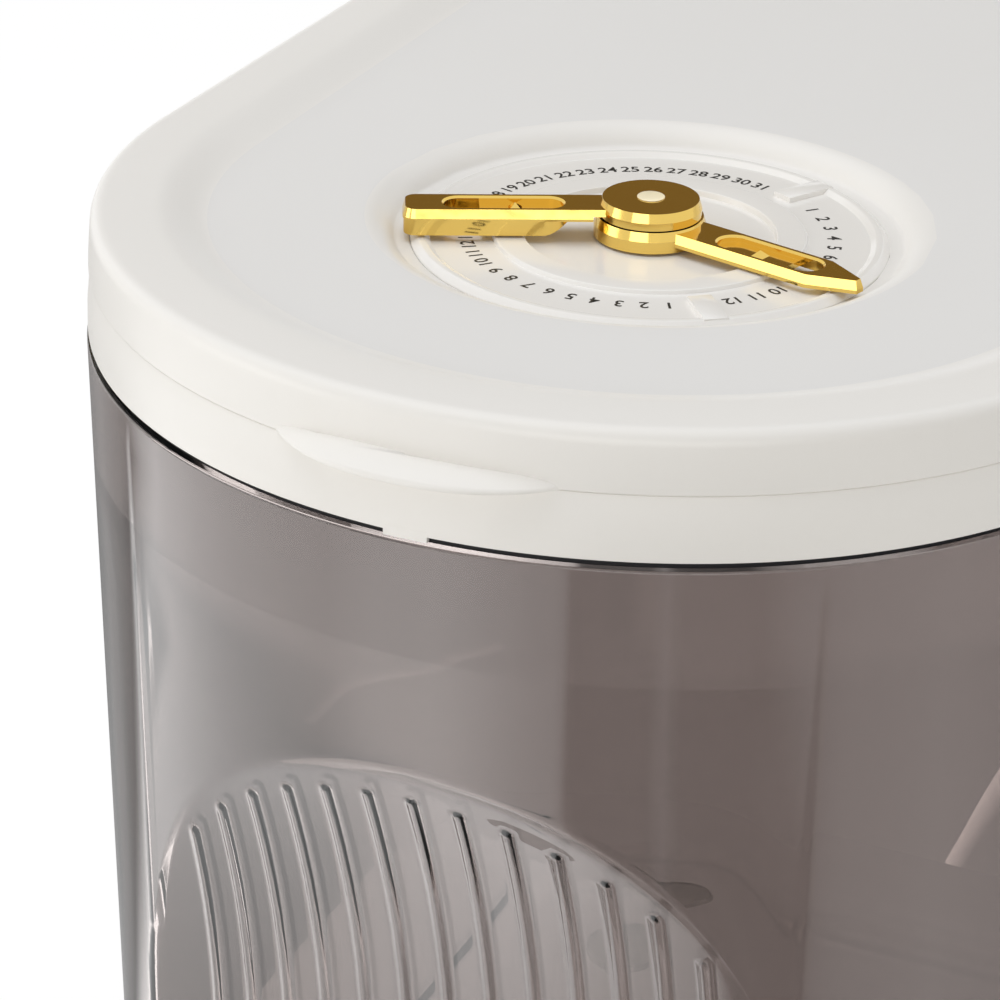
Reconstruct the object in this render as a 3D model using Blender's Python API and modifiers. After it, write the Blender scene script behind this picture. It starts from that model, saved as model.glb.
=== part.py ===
"""Rice bin: a smoke-tinted box, a white hinged lid, and a dial of days and months with two gold hands.

Front is -Y, up is +Z. The origin lies on the ground, under the middle of the whole object.
Heights that belong to the lid are given from the dial's numeral face, which is the lid's own datum.
"""
import math

import bmesh
import bpy
from mathutils import Matrix, Vector

# Driving dimensions, in metres and degrees

# Plan of the lid: a half circle in front, sides that flare a little, a flat back with round corners
LID_RADIUS = 0.0923
LID_BACK = 0.1845
CORNER_RADIUS = 0.032
SIDE_FLARE = 0.85
DIAL_FORWARD = 0.0013
DIAL_HEIGHT = 0.245

# Clearances
GAP = 0.0003
TURN_GAP = 0.0001
OVERRUN = 0.002

# Box
WALL = 0.0024
FLOOR = 0.003
BODY_DRAFT = 1.05
BODY_RIM = -0.0067
NECK_INSET = 0.0039
SHOULDER_TOP = -0.01545
SHOULDER_EASE = 0.0004
SLOPE_START = 0.0008
SLOPE_TALL = 0.018
OUTER_FILLET = 0.007
INNER_FILLET = 0.010
FOOT_HEIGHT = 0.0022
FOOT_RADIUS = 0.009
FOOT_EDGE = 0.0239

# Grip recess in the box's front
GRIP_BELOW_DIAL = 0.127
GRIP_HALF_HEIGHT = 0.0718
GRIP_HALF_ANGLE = 40.0
GRIP_DEPTH = 0.017
RIB_PITCH = 4.83
RIB_COUNT = 13
RIB_FOOT_SHARE = 0.18
RIB_TOP_SHARE = 0.09
RIB_HEIGHT = 0.0006
RIB_INSET = 0.0045
RIB_ROUND = 0.0025

# Collar
COLLAR_TOP = -0.0042
COLLAR_BOTTOM = -0.0142
COLLAR_INSET = 0.0002
COLLAR_LEAN = 0.0007
COLLAR_EASE = 0.0005
COLLAR_WALL = 0.0020
RIM_GAP = 0.0004
COLLAR_FLANGE = 0.0022
COLLAR_WIDTH = 0.0087
COLLAR_SKIRT = -0.0120
GASKET_TOP = -0.0098
GASKET_INSET = 0.0014
CATCH_WIDTH = 0.0070
CATCH_DROP = 0.00095
CATCH_RISE = 0.0009
CATCH_DEPTH = 0.0011

# Lid cover
COVER_BOTTOM = -0.0038
COVER_INSET = 0.0007
COVER_EASE = 0.0003
COVER_WALL = 0.0022
CROWN_TOP = 0.0058
CROWN_ROUND = 0.0026
CROWN_INSET = 0.0012
BAND_WIDTH = 0.0115
PLATEAU_INSET = 0.0205
PLATEAU_TOP = 0.0032
TAB_ANGLE = 13.9
TAB_REACH = 0.0054
TAB_TOP = -0.0015
TAB_THICK = 0.0024

# Dial well and plate
WELL_LIP = 0.047
WELL_ROUND = 0.006
WELL_FLOOR = -0.0022
WELL_RADIUS = 0.0412
PLATE_RADIUS = 0.0387
SEAT_GAP = 0.0004
SEAT_TOP = -0.0005
PLATE_BEAD = 0.0007
PLATE_EASE = 0.0004
BEAD_WIDTH = 0.0027
LEDGE_OUTER = 0.0258
LEDGE_INNER = 0.0205
CENTRE_DROP = -0.0003
DIVIDER_WIDTH = 0.004
DIVIDER_INNER = 0.0284
DIVIDER_RISE = 0.0009

# Dial marks, clockwise from the back as seen from above
DAY_ZERO = 144.3
DAY_STEP = 7.481
MONTH_ZERO = 33.11
MONTH_STEP = 8.239
DAYS = 31
MONTHS = 12
DAY_SHOWN = 13.25
MONTH_SHOWN = 8.71

# Hands
HAND_CHAMFER_WIDE = 0.00045
HAND_CHAMFER_TALL = 0.0015
HAND_ROOT = 0.004
HUB_CHAMFER = 0.0005
MONTH_HUB = 0.0092
MONTH_HUB_TOP = 0.0036
MONTH_ARM_TOP = 0.0032
MONTH_ARM_BOTTOM = 0.0011
MONTH_HALF_WIDTH = 0.0042
MONTH_SHOULDER = 0.0335
MONTH_TIP = 0.0412
MONTH_TIP_HALF = 0.0009
DAY_HUB = 0.0084
DAY_HUB_BOTTOM = 0.0041
DAY_HUB_TOP = 0.0065
DAY_ARM_TOP = 0.0055
DAY_ARM_BOTTOM = 0.0036
DAY_SKIRT_BOTTOM = 0.0011
DAY_HALF_WIDTH = 0.0039
DAY_END = 0.0403
DAY_END_ROUND = 0.0022
SKIRT_INSET = 0.00015
SKIRT_START = 0.0176
SKIRT_BOW = 0.0049
SKIRT_BOW_HALF = 0.0014
SLOT_START = 0.0142
SLOT_END = 0.0336
SLOT_LAND = 0.0014
SLOT_DEPTH = 0.0011
WINDOW_START = 0.0278
PYRAMID_AT = 0.0220
PYRAMID_HALF = 0.0011
PYRAMID_RISE = 0.0010

# Pivot stack
PIN_RADIUS = 0.0015
PIN_HEAD_RADIUS = 0.00225
PIN_HEAD_RISE = 0.0004
PIN_EASE = 0.00025
PIN_END = -0.0068
BORE_RADIUS = 0.0016
HUB_BOTTOM = 0.00015
WASHER_THICK = 0.0003
WASHER_RADIUS = 0.006
SPRING_RADIUS = 0.0045
SPRING_DISH = 0.0005
CLIP_THICK = 0.0006
CLIP_RADIUS = 0.0036

# Lid liner and seal
LINER_TOP = 0.0006
LINER_FLANGE = 0.0018
LINER_WALL = 0.0018
PLUG_GAP = 0.0009
PLUG_BOTTOM = -0.0110
PLUG_EASE = 0.0015
SEAL_THICK = 0.0014
SEAL_LIP = 0.0019
SEAL_FLARE = 0.0008

# Hinge
HINGE_OUT = 0.005
KNUCKLE_RADIUS = 0.004
HINGE_PIN_RADIUS = 0.0015
HINGE_BORE = 0.0016
HINGE_AT = 0.038
COVER_KNUCKLE = 0.016
COLLAR_KNUCKLE = 0.010
KNUCKLE_GAP = 0.0004
HINGE_WEB = 0.004
HINGE_ROOT = 0.0017
COLLAR_WEB_DROP = 0.006

# Facets
FRONT_STEPS = 40
CORNER_STEPS = 8
DIAL_STEPS = 64
ROUND_STEPS = 32

# Derived places
BACK_REACH = LID_BACK + HINGE_OUT + KNUCKLE_RADIUS
FRONT_REACH = LID_RADIUS + TAB_REACH
ARC_Y = (FRONT_REACH - BACK_REACH) / 2
DIAL_Y = ARC_Y - DIAL_FORWARD
BACK_Y = ARC_Y + LID_BACK
HINGE_Y = BACK_Y + HINGE_OUT
HINGE_Z = DIAL_HEIGHT + (COLLAR_TOP + COVER_BOTTOM) / 2
BODY_BOTTOM = FOOT_HEIGHT + GAP
GRIP_Z = DIAL_HEIGHT - GRIP_BELOW_DIAL

PARTS = None
TOOLS = None


def start_scene():
    """Empties the scene and makes the two collections."""
    global PARTS, TOOLS
    for old in list(bpy.data.objects):
        bpy.data.objects.remove(old, do_unlink=True)
    PARTS = bpy.data.collections.new("rice_bin")
    TOOLS = bpy.data.collections.new("cutters")
    bpy.context.scene.collection.children.link(PARTS)
    bpy.context.scene.collection.children.link(TOOLS)


def finish_of(name, colour, roughness, metallic=0.0, alpha=1.0):
    """One plain material for each kind of surface."""
    skin = bpy.data.materials.new(name)
    skin.use_nodes = True
    shader = skin.node_tree.nodes["Principled BSDF"]
    shader.inputs["Base Color"].default_value = (*colour, 1.0)
    shader.inputs["Roughness"].default_value = roughness
    shader.inputs["Metallic"].default_value = metallic
    shader.inputs["Alpha"].default_value = alpha
    return skin


def add_object(name, bm, skin, tool=False, place=None):
    """Turns a bmesh into an object, in the parts' or the cutters' collection."""
    mesh = bpy.data.meshes.new(name)
    bm.to_mesh(mesh)
    bm.free()
    thing = bpy.data.objects.new(name, mesh)
    if place is not None:
        thing.location = place
    if tool:
        TOOLS.objects.link(thing)
        thing.hide_render = True
        thing.display_type = "WIRE"
    else:
        PARTS.objects.link(thing)
        mesh.materials.append(skin)
    return thing


def combine(target, tool, operation):
    """Adds an exact Boolean to the target."""
    step = target.modifiers.new(tool.name, "BOOLEAN")
    step.operation = operation
    step.solver = "EXACT"
    step.object = tool


def plan_stations(front_angles):
    """The lid's plan as arc centres with a radius and a direction in degrees, round the outline."""
    stations = [(0.0, ARC_Y, LID_RADIUS, angle) for angle in front_angles]
    back = BACK_Y - CORNER_RADIUS
    flare = math.radians(SIDE_FLARE)
    side = (LID_RADIUS - CORNER_RADIUS + (back - ARC_Y) * math.sin(flare)) / math.cos(flare)
    turn = (90.0 + SIDE_FLARE) / CORNER_STEPS
    for step in range(CORNER_STEPS + 1):
        stations.append((side, back, CORNER_RADIUS, turn * step - SIDE_FLARE))
    for step in range(CORNER_STEPS + 1):
        stations.append((-side, back, CORNER_RADIUS, 90.0 + turn * step))
    return stations


def plain_stations():
    """Even steps round the front, for everything but the box."""
    start = 180.0 + SIDE_FLARE
    turn = (180.0 - 2 * SIDE_FLARE) / FRONT_STEPS
    return plan_stations([start + turn * step for step in range(FRONT_STEPS + 1)])


def at_station(station, offset, height):
    """A point at an offset outside the lid's line."""
    x, y, radius, angle = station
    turn = math.radians(angle)
    reach = radius + offset
    return Vector((x + reach * math.cos(turn), y + reach * math.sin(turn), height))


def skin_rows(rows, closed):
    """Draws a surface through rows of points by extruding one row to the next, then closes it."""
    bm = bmesh.new()
    row = [bm.verts.new(point) for point in rows[0]]
    first = [bm.edges.new((row[i - 1], row[i])) for i in range(len(row))]
    edges = first
    for points in rows[1:]:
        made = bmesh.ops.extrude_edge_only(bm, edges=edges)["geom"]
        index = {vert: i for i, vert in enumerate(row)}
        fresh = [None] * len(row)
        for vert in (item for item in made if isinstance(item, bmesh.types.BMVert)):
            for edge in vert.link_edges:
                if edge.other_vert(vert) in index:
                    fresh[index[edge.other_vert(vert)]] = vert
        for vert, point in zip(fresh, points):
            vert.co = point
        row = fresh
        edges = [item for item in made if isinstance(item, bmesh.types.BMEdge)]
    if closed:
        bmesh.ops.bridge_loops(bm, edges=first + edges)
    else:
        bmesh.ops.edgeloop_fill(bm, edges=first)
        bmesh.ops.edgeloop_fill(bm, edges=edges)
    bmesh.ops.remove_doubles(bm, verts=bm.verts, dist=0.000001)
    bmesh.ops.recalc_face_normals(bm, faces=bm.faces)
    return bm


def sweep(profile, closed):
    """Carries a profile of (offset, height from the dial) points round the lid's plan."""
    stations = plain_stations()
    rows = [[at_station(s, offset, DIAL_HEIGHT + height) for s in stations] for offset, height in profile]
    return skin_rows(rows, closed)


def turned(name, profile, steps, skin=None, tool=False, ring=False, place=None):
    """A profile of (radius, height) points turned round Z with a Screw modifier."""
    bm = bmesh.new()
    points = [bm.verts.new((radius, 0.0, height)) for radius, height in profile]
    for i in range(len(points) - 1):
        bm.edges.new((points[i], points[i + 1]))
    if ring:
        bm.edges.new((points[-1], points[0]))
    spot = place if place is not None else (0.0, DIAL_Y, DIAL_HEIGHT)
    thing = add_object(name, bm, skin, tool, spot)
    screw = thing.modifiers.new("turn", "SCREW")
    screw.steps = steps
    screw.render_steps = steps
    screw.use_merge_vertices = True
    screw.merge_threshold = 0.00002
    return thing


def prism(name, sections, skin=None, tool=False, place=None):
    """A solid through flat outlines: each section is a list of (x, y) points and a height."""
    rows = [[Vector((x, y, height)) for x, y in outline] for outline, height in sections]
    return add_object(name, skin_rows(rows, False), skin, tool, place)


def box(name, low, high, skin=None, tool=False, place=None):
    """A block between two corners."""
    bm = bmesh.new()
    bmesh.ops.create_cube(bm, size=1.0)
    size = [b - a for a, b in zip(low, high)]
    middle = [(a + b) / 2 for a, b in zip(low, high)]
    bmesh.ops.scale(bm, vec=size, verts=bm.verts)
    bmesh.ops.translate(bm, vec=middle, verts=bm.verts)
    return add_object(name, bm, skin, tool, place)


def barrel(name, radius, start, end, skin=None, tool=False):
    """A round bar along X on the hinge's axis."""
    bm = bmesh.new()
    bmesh.ops.create_cone(bm, cap_ends=True, segments=24, radius1=radius, radius2=radius, depth=end - start)
    turn = Matrix.Rotation(math.radians(90), 4, "Y")
    bmesh.ops.transform(bm, matrix=turn, verts=bm.verts)
    bmesh.ops.translate(bm, vec=((start + end) / 2, 0.0, 0.0), verts=bm.verts)
    return add_object(name, bm, skin, tool, (0.0, HINGE_Y, HINGE_Z))


def offset_outline(points, distance):
    """Moves each side of a counter-clockwise outline inwards."""
    moved = []
    for i, here in enumerate(points):
        before = Vector(here) - Vector(points[i - 1])
        after = Vector(points[(i + 1) % len(points)]) - Vector(here)
        left = Vector((-before.y, before.x)).normalized()
        right = Vector((-after.y, after.x)).normalized()
        mean = (left + right).normalized()
        moved.append(tuple(Vector(here) + mean * (distance / mean.dot(left))))
    return moved


def slot_outline(start, end, half, shoulder, square):
    """A slot along X with round ends; with square on, its near end is straight, at the shoulder."""
    outline = []
    for step in range(9):
        turn = math.radians(-90 + 180 * step / 8)
        outline.append((end - half + half * math.cos(turn), half * math.sin(turn)))
    outline.append((shoulder, half))
    for step in range(9):
        turn = math.radians(90 + 180 * step / 8)
        x = shoulder if square else start + half + half * math.cos(turn)
        outline.append((x, half * math.sin(turn)))
    outline.append((shoulder, -half))
    return outline


# Box


def wall_offset(height):
    """The wall's outer face meets the lid's line at the shoulder and leans in towards the floor."""
    fall = DIAL_HEIGHT + SHOULDER_TOP - height
    return -fall * math.tan(math.radians(BODY_DRAFT))


def body_angles():
    """Front directions: close steps over the ribs, wide steps beside them."""
    half = RIB_COUNT // 2
    centres = [RIB_PITCH * i for i in range(-half, half + 1)]
    shares = (-RIB_FOOT_SHARE, -RIB_TOP_SHARE, RIB_TOP_SHARE, RIB_FOOT_SHARE)
    ribs = [c + RIB_PITCH * share for c in centres for share in shares]
    edge = GRIP_HALF_ANGLE
    between = [ribs[-1] + (edge - ribs[-1]) * step / 3 for step in (1, 2)]
    beside = between + [edge + (90.0 - SIDE_FLARE - edge) * step / 8 for step in range(9)]
    spread = [-a for a in reversed(beside)] + ribs + beside
    return [270.0 + a for a in spread]


def grip_bow():
    """How much the recess's floor bows back towards the sides, per metre squared."""
    radius = LID_RADIUS + wall_offset(GRIP_Z)
    turn = math.radians(GRIP_HALF_ANGLE)
    return (radius * (1 - math.cos(turn)) - GRIP_DEPTH) / (radius * math.sin(turn)) ** 2


def grip_half_height(angle):
    """Height of the recess's edge above its middle, at a direction from the front."""
    radius = LID_RADIUS + wall_offset(GRIP_Z)
    turn = math.radians(angle)
    rise = radius * (1 - math.cos(turn)) - grip_bow() * (radius * math.sin(turn)) ** 2
    left = 1 - rise / GRIP_DEPTH
    if abs(angle) >= GRIP_HALF_ANGLE:
        left = 0.0
    return max(GRIP_HALF_HEIGHT * math.sqrt(max(left, 0.0)), 2 * (RIB_INSET + RIB_ROUND))


def rib_share(angle):
    """1 on a rib's top, 0 between ribs."""
    half = RIB_COUNT // 2
    nearest = max(-half, min(half, round(angle / RIB_PITCH)))
    beyond = abs(angle - nearest * RIB_PITCH) > (RIB_FOOT_SHARE + RIB_TOP_SHARE) / 2 * RIB_PITCH
    return 0.0 if beyond else 1.0


def body_point(station, inset, height, thicker=0.0, rib=0.0):
    """A point on the box's wall, moved back where the recess is."""
    point = at_station(station, inset, height)
    if station[2] != LID_RADIUS or station[0] != 0.0:
        return point
    radius = LID_RADIUS + wall_offset(height)
    reach = (height - GRIP_Z) / GRIP_HALF_HEIGHT
    scoop = GRIP_DEPTH * (1 - reach * reach)
    back = ARC_Y - radius + scoop + grip_bow() * point.x ** 2 + thicker - rib
    point.y = max(point.y, back)
    return point


def body_rows():
    """Rows of points from the outer bottom, up over the rim and down to the inner floor."""
    stations = plan_stations(body_angles())
    angles = [s[3] - 270.0 if s[2] == LID_RADIUS and s[0] == 0.0 else 90.0 for s in stations]
    halves = [grip_half_height(a) for a in angles]
    rib_start = RIB_INSET + RIB_ROUND
    rows = []

    def plain(offset, height):
        rows.append([at_station(s, offset, height) for s in stations])

    def wall(inset, height):
        plain(wall_offset(height) - inset, height)

    for step in range(4):
        turn = math.radians(30 * step)
        height = BODY_BOTTOM + OUTER_FILLET * (1 - math.cos(turn))
        wall(OUTER_FILLET * (1 - math.sin(turn)), height)
    levels = [(-1, 0.0), (-1, RIB_INSET), (-1, rib_start)]
    marks = [(sign, cut, 1.0) for sign, cut in levels]
    shares = ((-1, 0.66), (-1, 0.33), (1, 0.0), (1, 0.33), (1, 0.66))
    marks += [(side, rib_start, share) for side, share in shares]
    marks += [(1, rib_start, 1.0), (1, RIB_INSET, 1.0), (1, 0.0, 1.0)]
    for side, cut, share in marks:
        row = []
        for station, angle, half in zip(stations, angles, halves):
            height = GRIP_Z + side * (half - cut) * share
            rib = RIB_HEIGHT * rib_share(angle) if cut == rib_start else 0.0
            row.append(body_point(station, wall_offset(height), height, 0.0, rib))
        rows.append(row)
    shoulder = DIAL_HEIGHT + SHOULDER_TOP
    wall(0.0, shoulder - SHOULDER_EASE)
    wall(SHOULDER_EASE, shoulder)
    plain(-NECK_INSET, shoulder)
    plain(-NECK_INSET, DIAL_HEIGHT + BODY_RIM)
    plain(-NECK_INSET - WALL, DIAL_HEIGHT + BODY_RIM)
    plain(-NECK_INSET - WALL, shoulder - SLOPE_START)
    wall(WALL, shoulder - SLOPE_START - SLOPE_TALL)
    inside = [(1, -WALL, 1.0), (1, RIB_INSET, 1.0), (1, RIB_INSET, 0.6), (1, RIB_INSET, 0.0)]
    inside += [(-1, RIB_INSET, 0.6), (-1, RIB_INSET, 1.0), (-1, -WALL, 1.0)]
    for side, cut, share in inside:
        row = []
        for station, half in zip(stations, halves):
            height = GRIP_Z + side * (half - cut) * share
            row.append(body_point(station, wall_offset(height) - WALL, height, 1.1 * WALL))
        rows.append(row)
    inner_floor = BODY_BOTTOM + FLOOR
    for step in range(4):
        turn = math.radians(90 - 30 * step)
        height = inner_floor + INNER_FILLET * (1 - math.cos(turn))
        wall(WALL + INNER_FILLET * (1 - math.sin(turn)), height)
    return rows


def make_body(skin):
    """The smoke-tinted box, open at the top."""
    bm = skin_rows(body_rows(), False)
    bmesh.ops.dissolve_limit(bm, angle_limit=math.radians(0.02), verts=bm.verts, edges=bm.edges)
    return add_object("container_body", bm, skin)


def make_feet(skin):
    """Four pads, each just under the floor."""
    side = LID_RADIUS - FOOT_EDGE
    slant = math.radians(45)
    front = ARC_Y - side * math.sin(slant)
    back = BACK_Y - FOOT_EDGE - FOOT_RADIUS
    spots = {
        "foot_front_left": (-side * math.cos(slant), front),
        "foot_front_right": (side * math.cos(slant), front),
        "foot_back_left": (-side + FOOT_RADIUS, back),
        "foot_back_right": (side - FOOT_RADIUS, back),
    }
    edge = FOOT_HEIGHT / 4
    profile = [(0.0, FOOT_HEIGHT), (FOOT_RADIUS, FOOT_HEIGHT), (FOOT_RADIUS, edge),
               (FOOT_RADIUS - edge, 0.0), (0.0, 0.0)]
    for name, (x, y) in spots.items():
        turned(name, profile, ROUND_STEPS, skin, place=(x, y, 0.0))


# Collar, catch and gasket


def collar_outside(height):
    """Offset of the collar's outer face, which leans in towards the top."""
    share = (height - COLLAR_BOTTOM) / (COLLAR_TOP - COLLAR_BOTTOM)
    return -COLLAR_INSET - COLLAR_LEAN * max(share, 0.0) ** 2


def collar_inside(height):
    """Offset of the collar's inner face, a wall's thickness in."""
    return collar_outside(height) - COLLAR_WALL


def make_collar(skin):
    """White ring over the rim, with hinge knuckles behind and a notch for the catch in front."""
    under = COLLAR_TOP - COLLAR_FLANGE
    heights = [COLLAR_BOTTOM + (COLLAR_TOP - COLLAR_EASE - COLLAR_BOTTOM) * step / 4 for step in range(5)]
    profile = [(collar_outside(height), height) for height in heights]
    profile += [(collar_outside(COLLAR_TOP) - COLLAR_EASE, COLLAR_TOP), (-COLLAR_WIDTH, COLLAR_TOP)]
    profile += [(-COLLAR_WIDTH, COLLAR_SKIRT), (-NECK_INSET - WALL - RIM_GAP, COLLAR_SKIRT)]
    profile += [(-NECK_INSET - WALL - RIM_GAP, under), (collar_inside(under), under)]
    profile += [(collar_inside(COLLAR_BOTTOM), COLLAR_BOTTOM)]
    collar = add_object("collar", sweep(profile, True), skin)
    join_knuckles(collar, "collar", [
        (COVER_KNUCKLE / 2 + KNUCKLE_GAP, COVER_KNUCKLE / 2 + KNUCKLE_GAP + COLLAR_KNUCKLE),
        (-COVER_KNUCKLE / 2 - KNUCKLE_GAP - COLLAR_KNUCKLE, -COVER_KNUCKLE / 2 - KNUCKLE_GAP),
    ], -COLLAR_WEB_DROP, (COLLAR_TOP - COVER_BOTTOM) / 2)
    front = ARC_Y - LID_RADIUS
    notch = CATCH_WIDTH / 2 + TURN_GAP
    bottom = DIAL_HEIGHT + COLLAR_BOTTOM
    cutter = box("catch_notch", (-notch, front - OVERRUN, bottom - OVERRUN),
                 (notch, front + CATCH_DEPTH + TURN_GAP, bottom + CATCH_RISE + TURN_GAP), tool=True)
    combine(collar, cutter, "DIFFERENCE")
    return collar


def make_catch(skin):
    """Small lug that stands a little below the collar, in front."""
    half = CATCH_WIDTH / 2
    radius = LID_RADIUS - COLLAR_INSET
    outline = []
    for step in range(7):
        x = -half + CATCH_WIDTH * step / 6
        outline.append((x, -math.sqrt(radius ** 2 - x ** 2)))
    back = CATCH_DEPTH - LID_RADIUS
    outline += [(half, back), (-half, back)]
    bottom = COLLAR_BOTTOM - CATCH_DROP
    top = COLLAR_BOTTOM + CATCH_RISE
    prism("collar_catch", [(outline, bottom), (outline, top)], skin, place=(0.0, ARC_Y, DIAL_HEIGHT))


def make_gasket(skin):
    """Dark ring on the box's shoulder; its foot fills the joint under the collar."""
    inner = -NECK_INSET + GAP
    low = SHOULDER_TOP + GAP
    foot = COLLAR_BOTTOM - GAP
    profile = [(-GASKET_INSET, low), (-GASKET_INSET, foot), (collar_inside(foot) - GAP, foot)]
    profile += [(collar_inside(GASKET_TOP) - GAP, GASKET_TOP), (inner, GASKET_TOP), (inner, low)]
    add_object("rim_gasket", sweep(profile, True), skin)


# Lid shells


def cover_profile():
    """Outer skin from the bottom edge to the plateau, as (offset, height)."""
    points = [(-COVER_INSET - COVER_EASE, COVER_BOTTOM), (-COVER_INSET, COVER_BOTTOM + COVER_EASE)]
    centre = (-CROWN_INSET - CROWN_ROUND, CROWN_TOP - CROWN_ROUND)
    for step in range(6):
        turn = math.radians(90 * step / 5)
        points.append((centre[0] + CROWN_ROUND * math.cos(turn), centre[1] + CROWN_ROUND * math.sin(turn)))
    for step in range(7):
        share = step / 6
        drop = (1 - math.cos(math.pi * share)) / 2
        offset = -BAND_WIDTH - (PLATEAU_INSET - BAND_WIDTH) * share
        points.append((offset, CROWN_TOP + (PLATEAU_TOP - CROWN_TOP) * drop))
    return points


def make_cover(skin):
    """White top shell: rim, band, plateau, dial well, finger tab and hinge knuckles."""
    outer = cover_profile()
    under_crown = CROWN_TOP - COVER_WALL
    inner = [
        (-PLATEAU_INSET, PLATEAU_TOP - COVER_WALL),
        (-(BAND_WIDTH + PLATEAU_INSET) / 2 + COVER_WALL, under_crown),
        (-CROWN_INSET - 1.5 * COVER_WALL, under_crown),
        (-CROWN_INSET - COVER_WALL, under_crown - COVER_WALL / 2),
        (-COVER_INSET - COVER_WALL, COVER_BOTTOM),
    ]
    bm = sweep(list(reversed(outer)) + list(reversed(inner)), False)
    cover = add_object("lid_cover", bm, skin)
    combine(cover, make_well_cup(), "UNION")
    combine(cover, make_tab(), "UNION")
    join_knuckles(cover, "cover", [(-COVER_KNUCKLE / 2, COVER_KNUCKLE / 2)],
                  (COVER_BOTTOM - COLLAR_TOP) / 2, HINGE_WEB)
    combine(cover, make_well_cutter(), "DIFFERENCE")
    return cover


def make_well_cup():
    """The outside of the dial well, hung under the plateau."""
    wall = WELL_RADIUS + COVER_WALL
    top = PLATEAU_TOP - COVER_WALL / 2
    bottom = WELL_FLOOR - COVER_WALL
    profile = [(0.0, top), (WELL_LIP + COVER_WALL, top), (WELL_LIP + COVER_WALL, top - COVER_WALL),
               (wall, WELL_FLOOR + COVER_WALL / 2), (wall, bottom), (0.0, bottom)]
    return turned("well_cup", profile, DIAL_STEPS, tool=True)


def make_well_cutter():
    """The inside of the dial well: its rounded lip, the plate's seat and the pivot's bore."""
    top = PLATEAU_TOP + 2 * OVERRUN
    profile = [(0.0, top), (WELL_LIP, top), (WELL_LIP, PLATEAU_TOP)]
    for step in range(1, 5):
        turn = math.radians(64 * step / 4)
        radius = WELL_LIP - WELL_ROUND * math.sin(turn)
        profile.append((radius, PLATEAU_TOP - WELL_ROUND * (1 - math.cos(turn))))
    bottom = WELL_FLOOR - COVER_WALL - OVERRUN
    seat = PLATE_RADIUS + SEAT_GAP
    profile += [(seat, SEAT_TOP), (seat, WELL_FLOOR), (BORE_RADIUS, WELL_FLOOR)]
    profile += [(BORE_RADIUS, bottom), (0.0, bottom)]
    return turned("well_cutter", profile, DIAL_STEPS, tool=True)


def make_tab():
    """Crescent finger tab in front: an arc that swells out of the lid's front."""
    half_chord = LID_RADIUS * math.sin(math.radians(TAB_ANGLE))
    sag = LID_RADIUS * (1 - math.cos(math.radians(TAB_ANGLE))) + TAB_REACH
    radius = (half_chord ** 2 + sag ** 2) / (2 * sag)
    sweep_angle = math.asin(half_chord / radius)
    centre = -LID_RADIUS - TAB_REACH + radius
    root = LID_RADIUS - COVER_INSET - COVER_WALL / 2

    def crescent(shrink):
        outer = []
        inner = []
        for step in range(21):
            turn = sweep_angle * (step / 10 - 1)
            tip = Vector((radius * math.sin(turn), centre - radius * math.cos(turn)))
            base = tip.normalized() * root
            share = min(shrink / (tip - base).length, 0.7)
            outer.append(tuple(tip.lerp(base, share)))
            inner.append(tuple(base))
        return outer + inner[::-1]

    low = TAB_TOP - TAB_THICK
    edge = TAB_THICK / 6
    sections = [(crescent(edge), low), (crescent(0.0), low + edge), (crescent(0.0), low + 2.5 * edge),
                (crescent(edge), low + 3.6 * edge), (crescent(4 * edge), low + 5 * edge),
                (crescent(8 * edge), TAB_TOP)]
    return prism("finger_tab", sections, tool=True, place=(0.0, ARC_Y, DIAL_HEIGHT))


def join_knuckles(shell, name, spans, low, high):
    """Joins the hinge's knuckles and their webs to a shell, at both hinge stations."""
    for side in (-1, 1):
        for count, (start, end) in enumerate(spans):
            first = side * HINGE_AT + start
            last = side * HINGE_AT + end
            label = f"{name}_{'left' if side < 0 else 'right'}_{count}"
            combine(shell, barrel(label + "_knuckle", KNUCKLE_RADIUS, first, last, tool=True), "UNION")
            web = box(label + "_web", (first, -HINGE_OUT - HINGE_ROOT, low), (last, 0.0, high), tool=True,
                      place=(0.0, HINGE_Y, HINGE_Z))
            combine(shell, web, "UNION")
    ends = COVER_KNUCKLE / 2 + COLLAR_KNUCKLE + 4 * KNUCKLE_GAP
    for side in (-1, 1):
        middle = side * HINGE_AT
        bore = barrel(f"{name}_bore_{side}", HINGE_BORE, middle - ends, middle + ends, tool=True)
        combine(shell, bore, "DIFFERENCE")


def make_hinge_pins(skin):
    """Steel pins through the knuckles."""
    half = COVER_KNUCKLE / 2 + COLLAR_KNUCKLE
    barrel("hinge_pin_left", HINGE_PIN_RADIUS, -HINGE_AT - half, -HINGE_AT + half, skin)
    barrel("hinge_pin_right", HINGE_PIN_RADIUS, HINGE_AT - half, HINGE_AT + half, skin)


def make_liner(skin):
    """Inner tray of the lid, a plug that drops into the collar."""
    rim = -CROWN_INSET - COVER_WALL - GAP
    plug = -COLLAR_WIDTH - PLUG_GAP
    under = LINER_TOP - LINER_FLANGE
    inside = plug - LINER_WALL
    floor = PLUG_BOTTOM + LINER_WALL
    profile = [
        (plug - PLUG_EASE, PLUG_BOTTOM), (plug, PLUG_BOTTOM + PLUG_EASE), (plug, under), (rim, under),
        (rim, LINER_TOP), (inside, LINER_TOP), (inside, floor + PLUG_EASE), (inside - PLUG_EASE, floor),
    ]
    return add_object("lid_liner", sweep(profile, False), skin)


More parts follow.
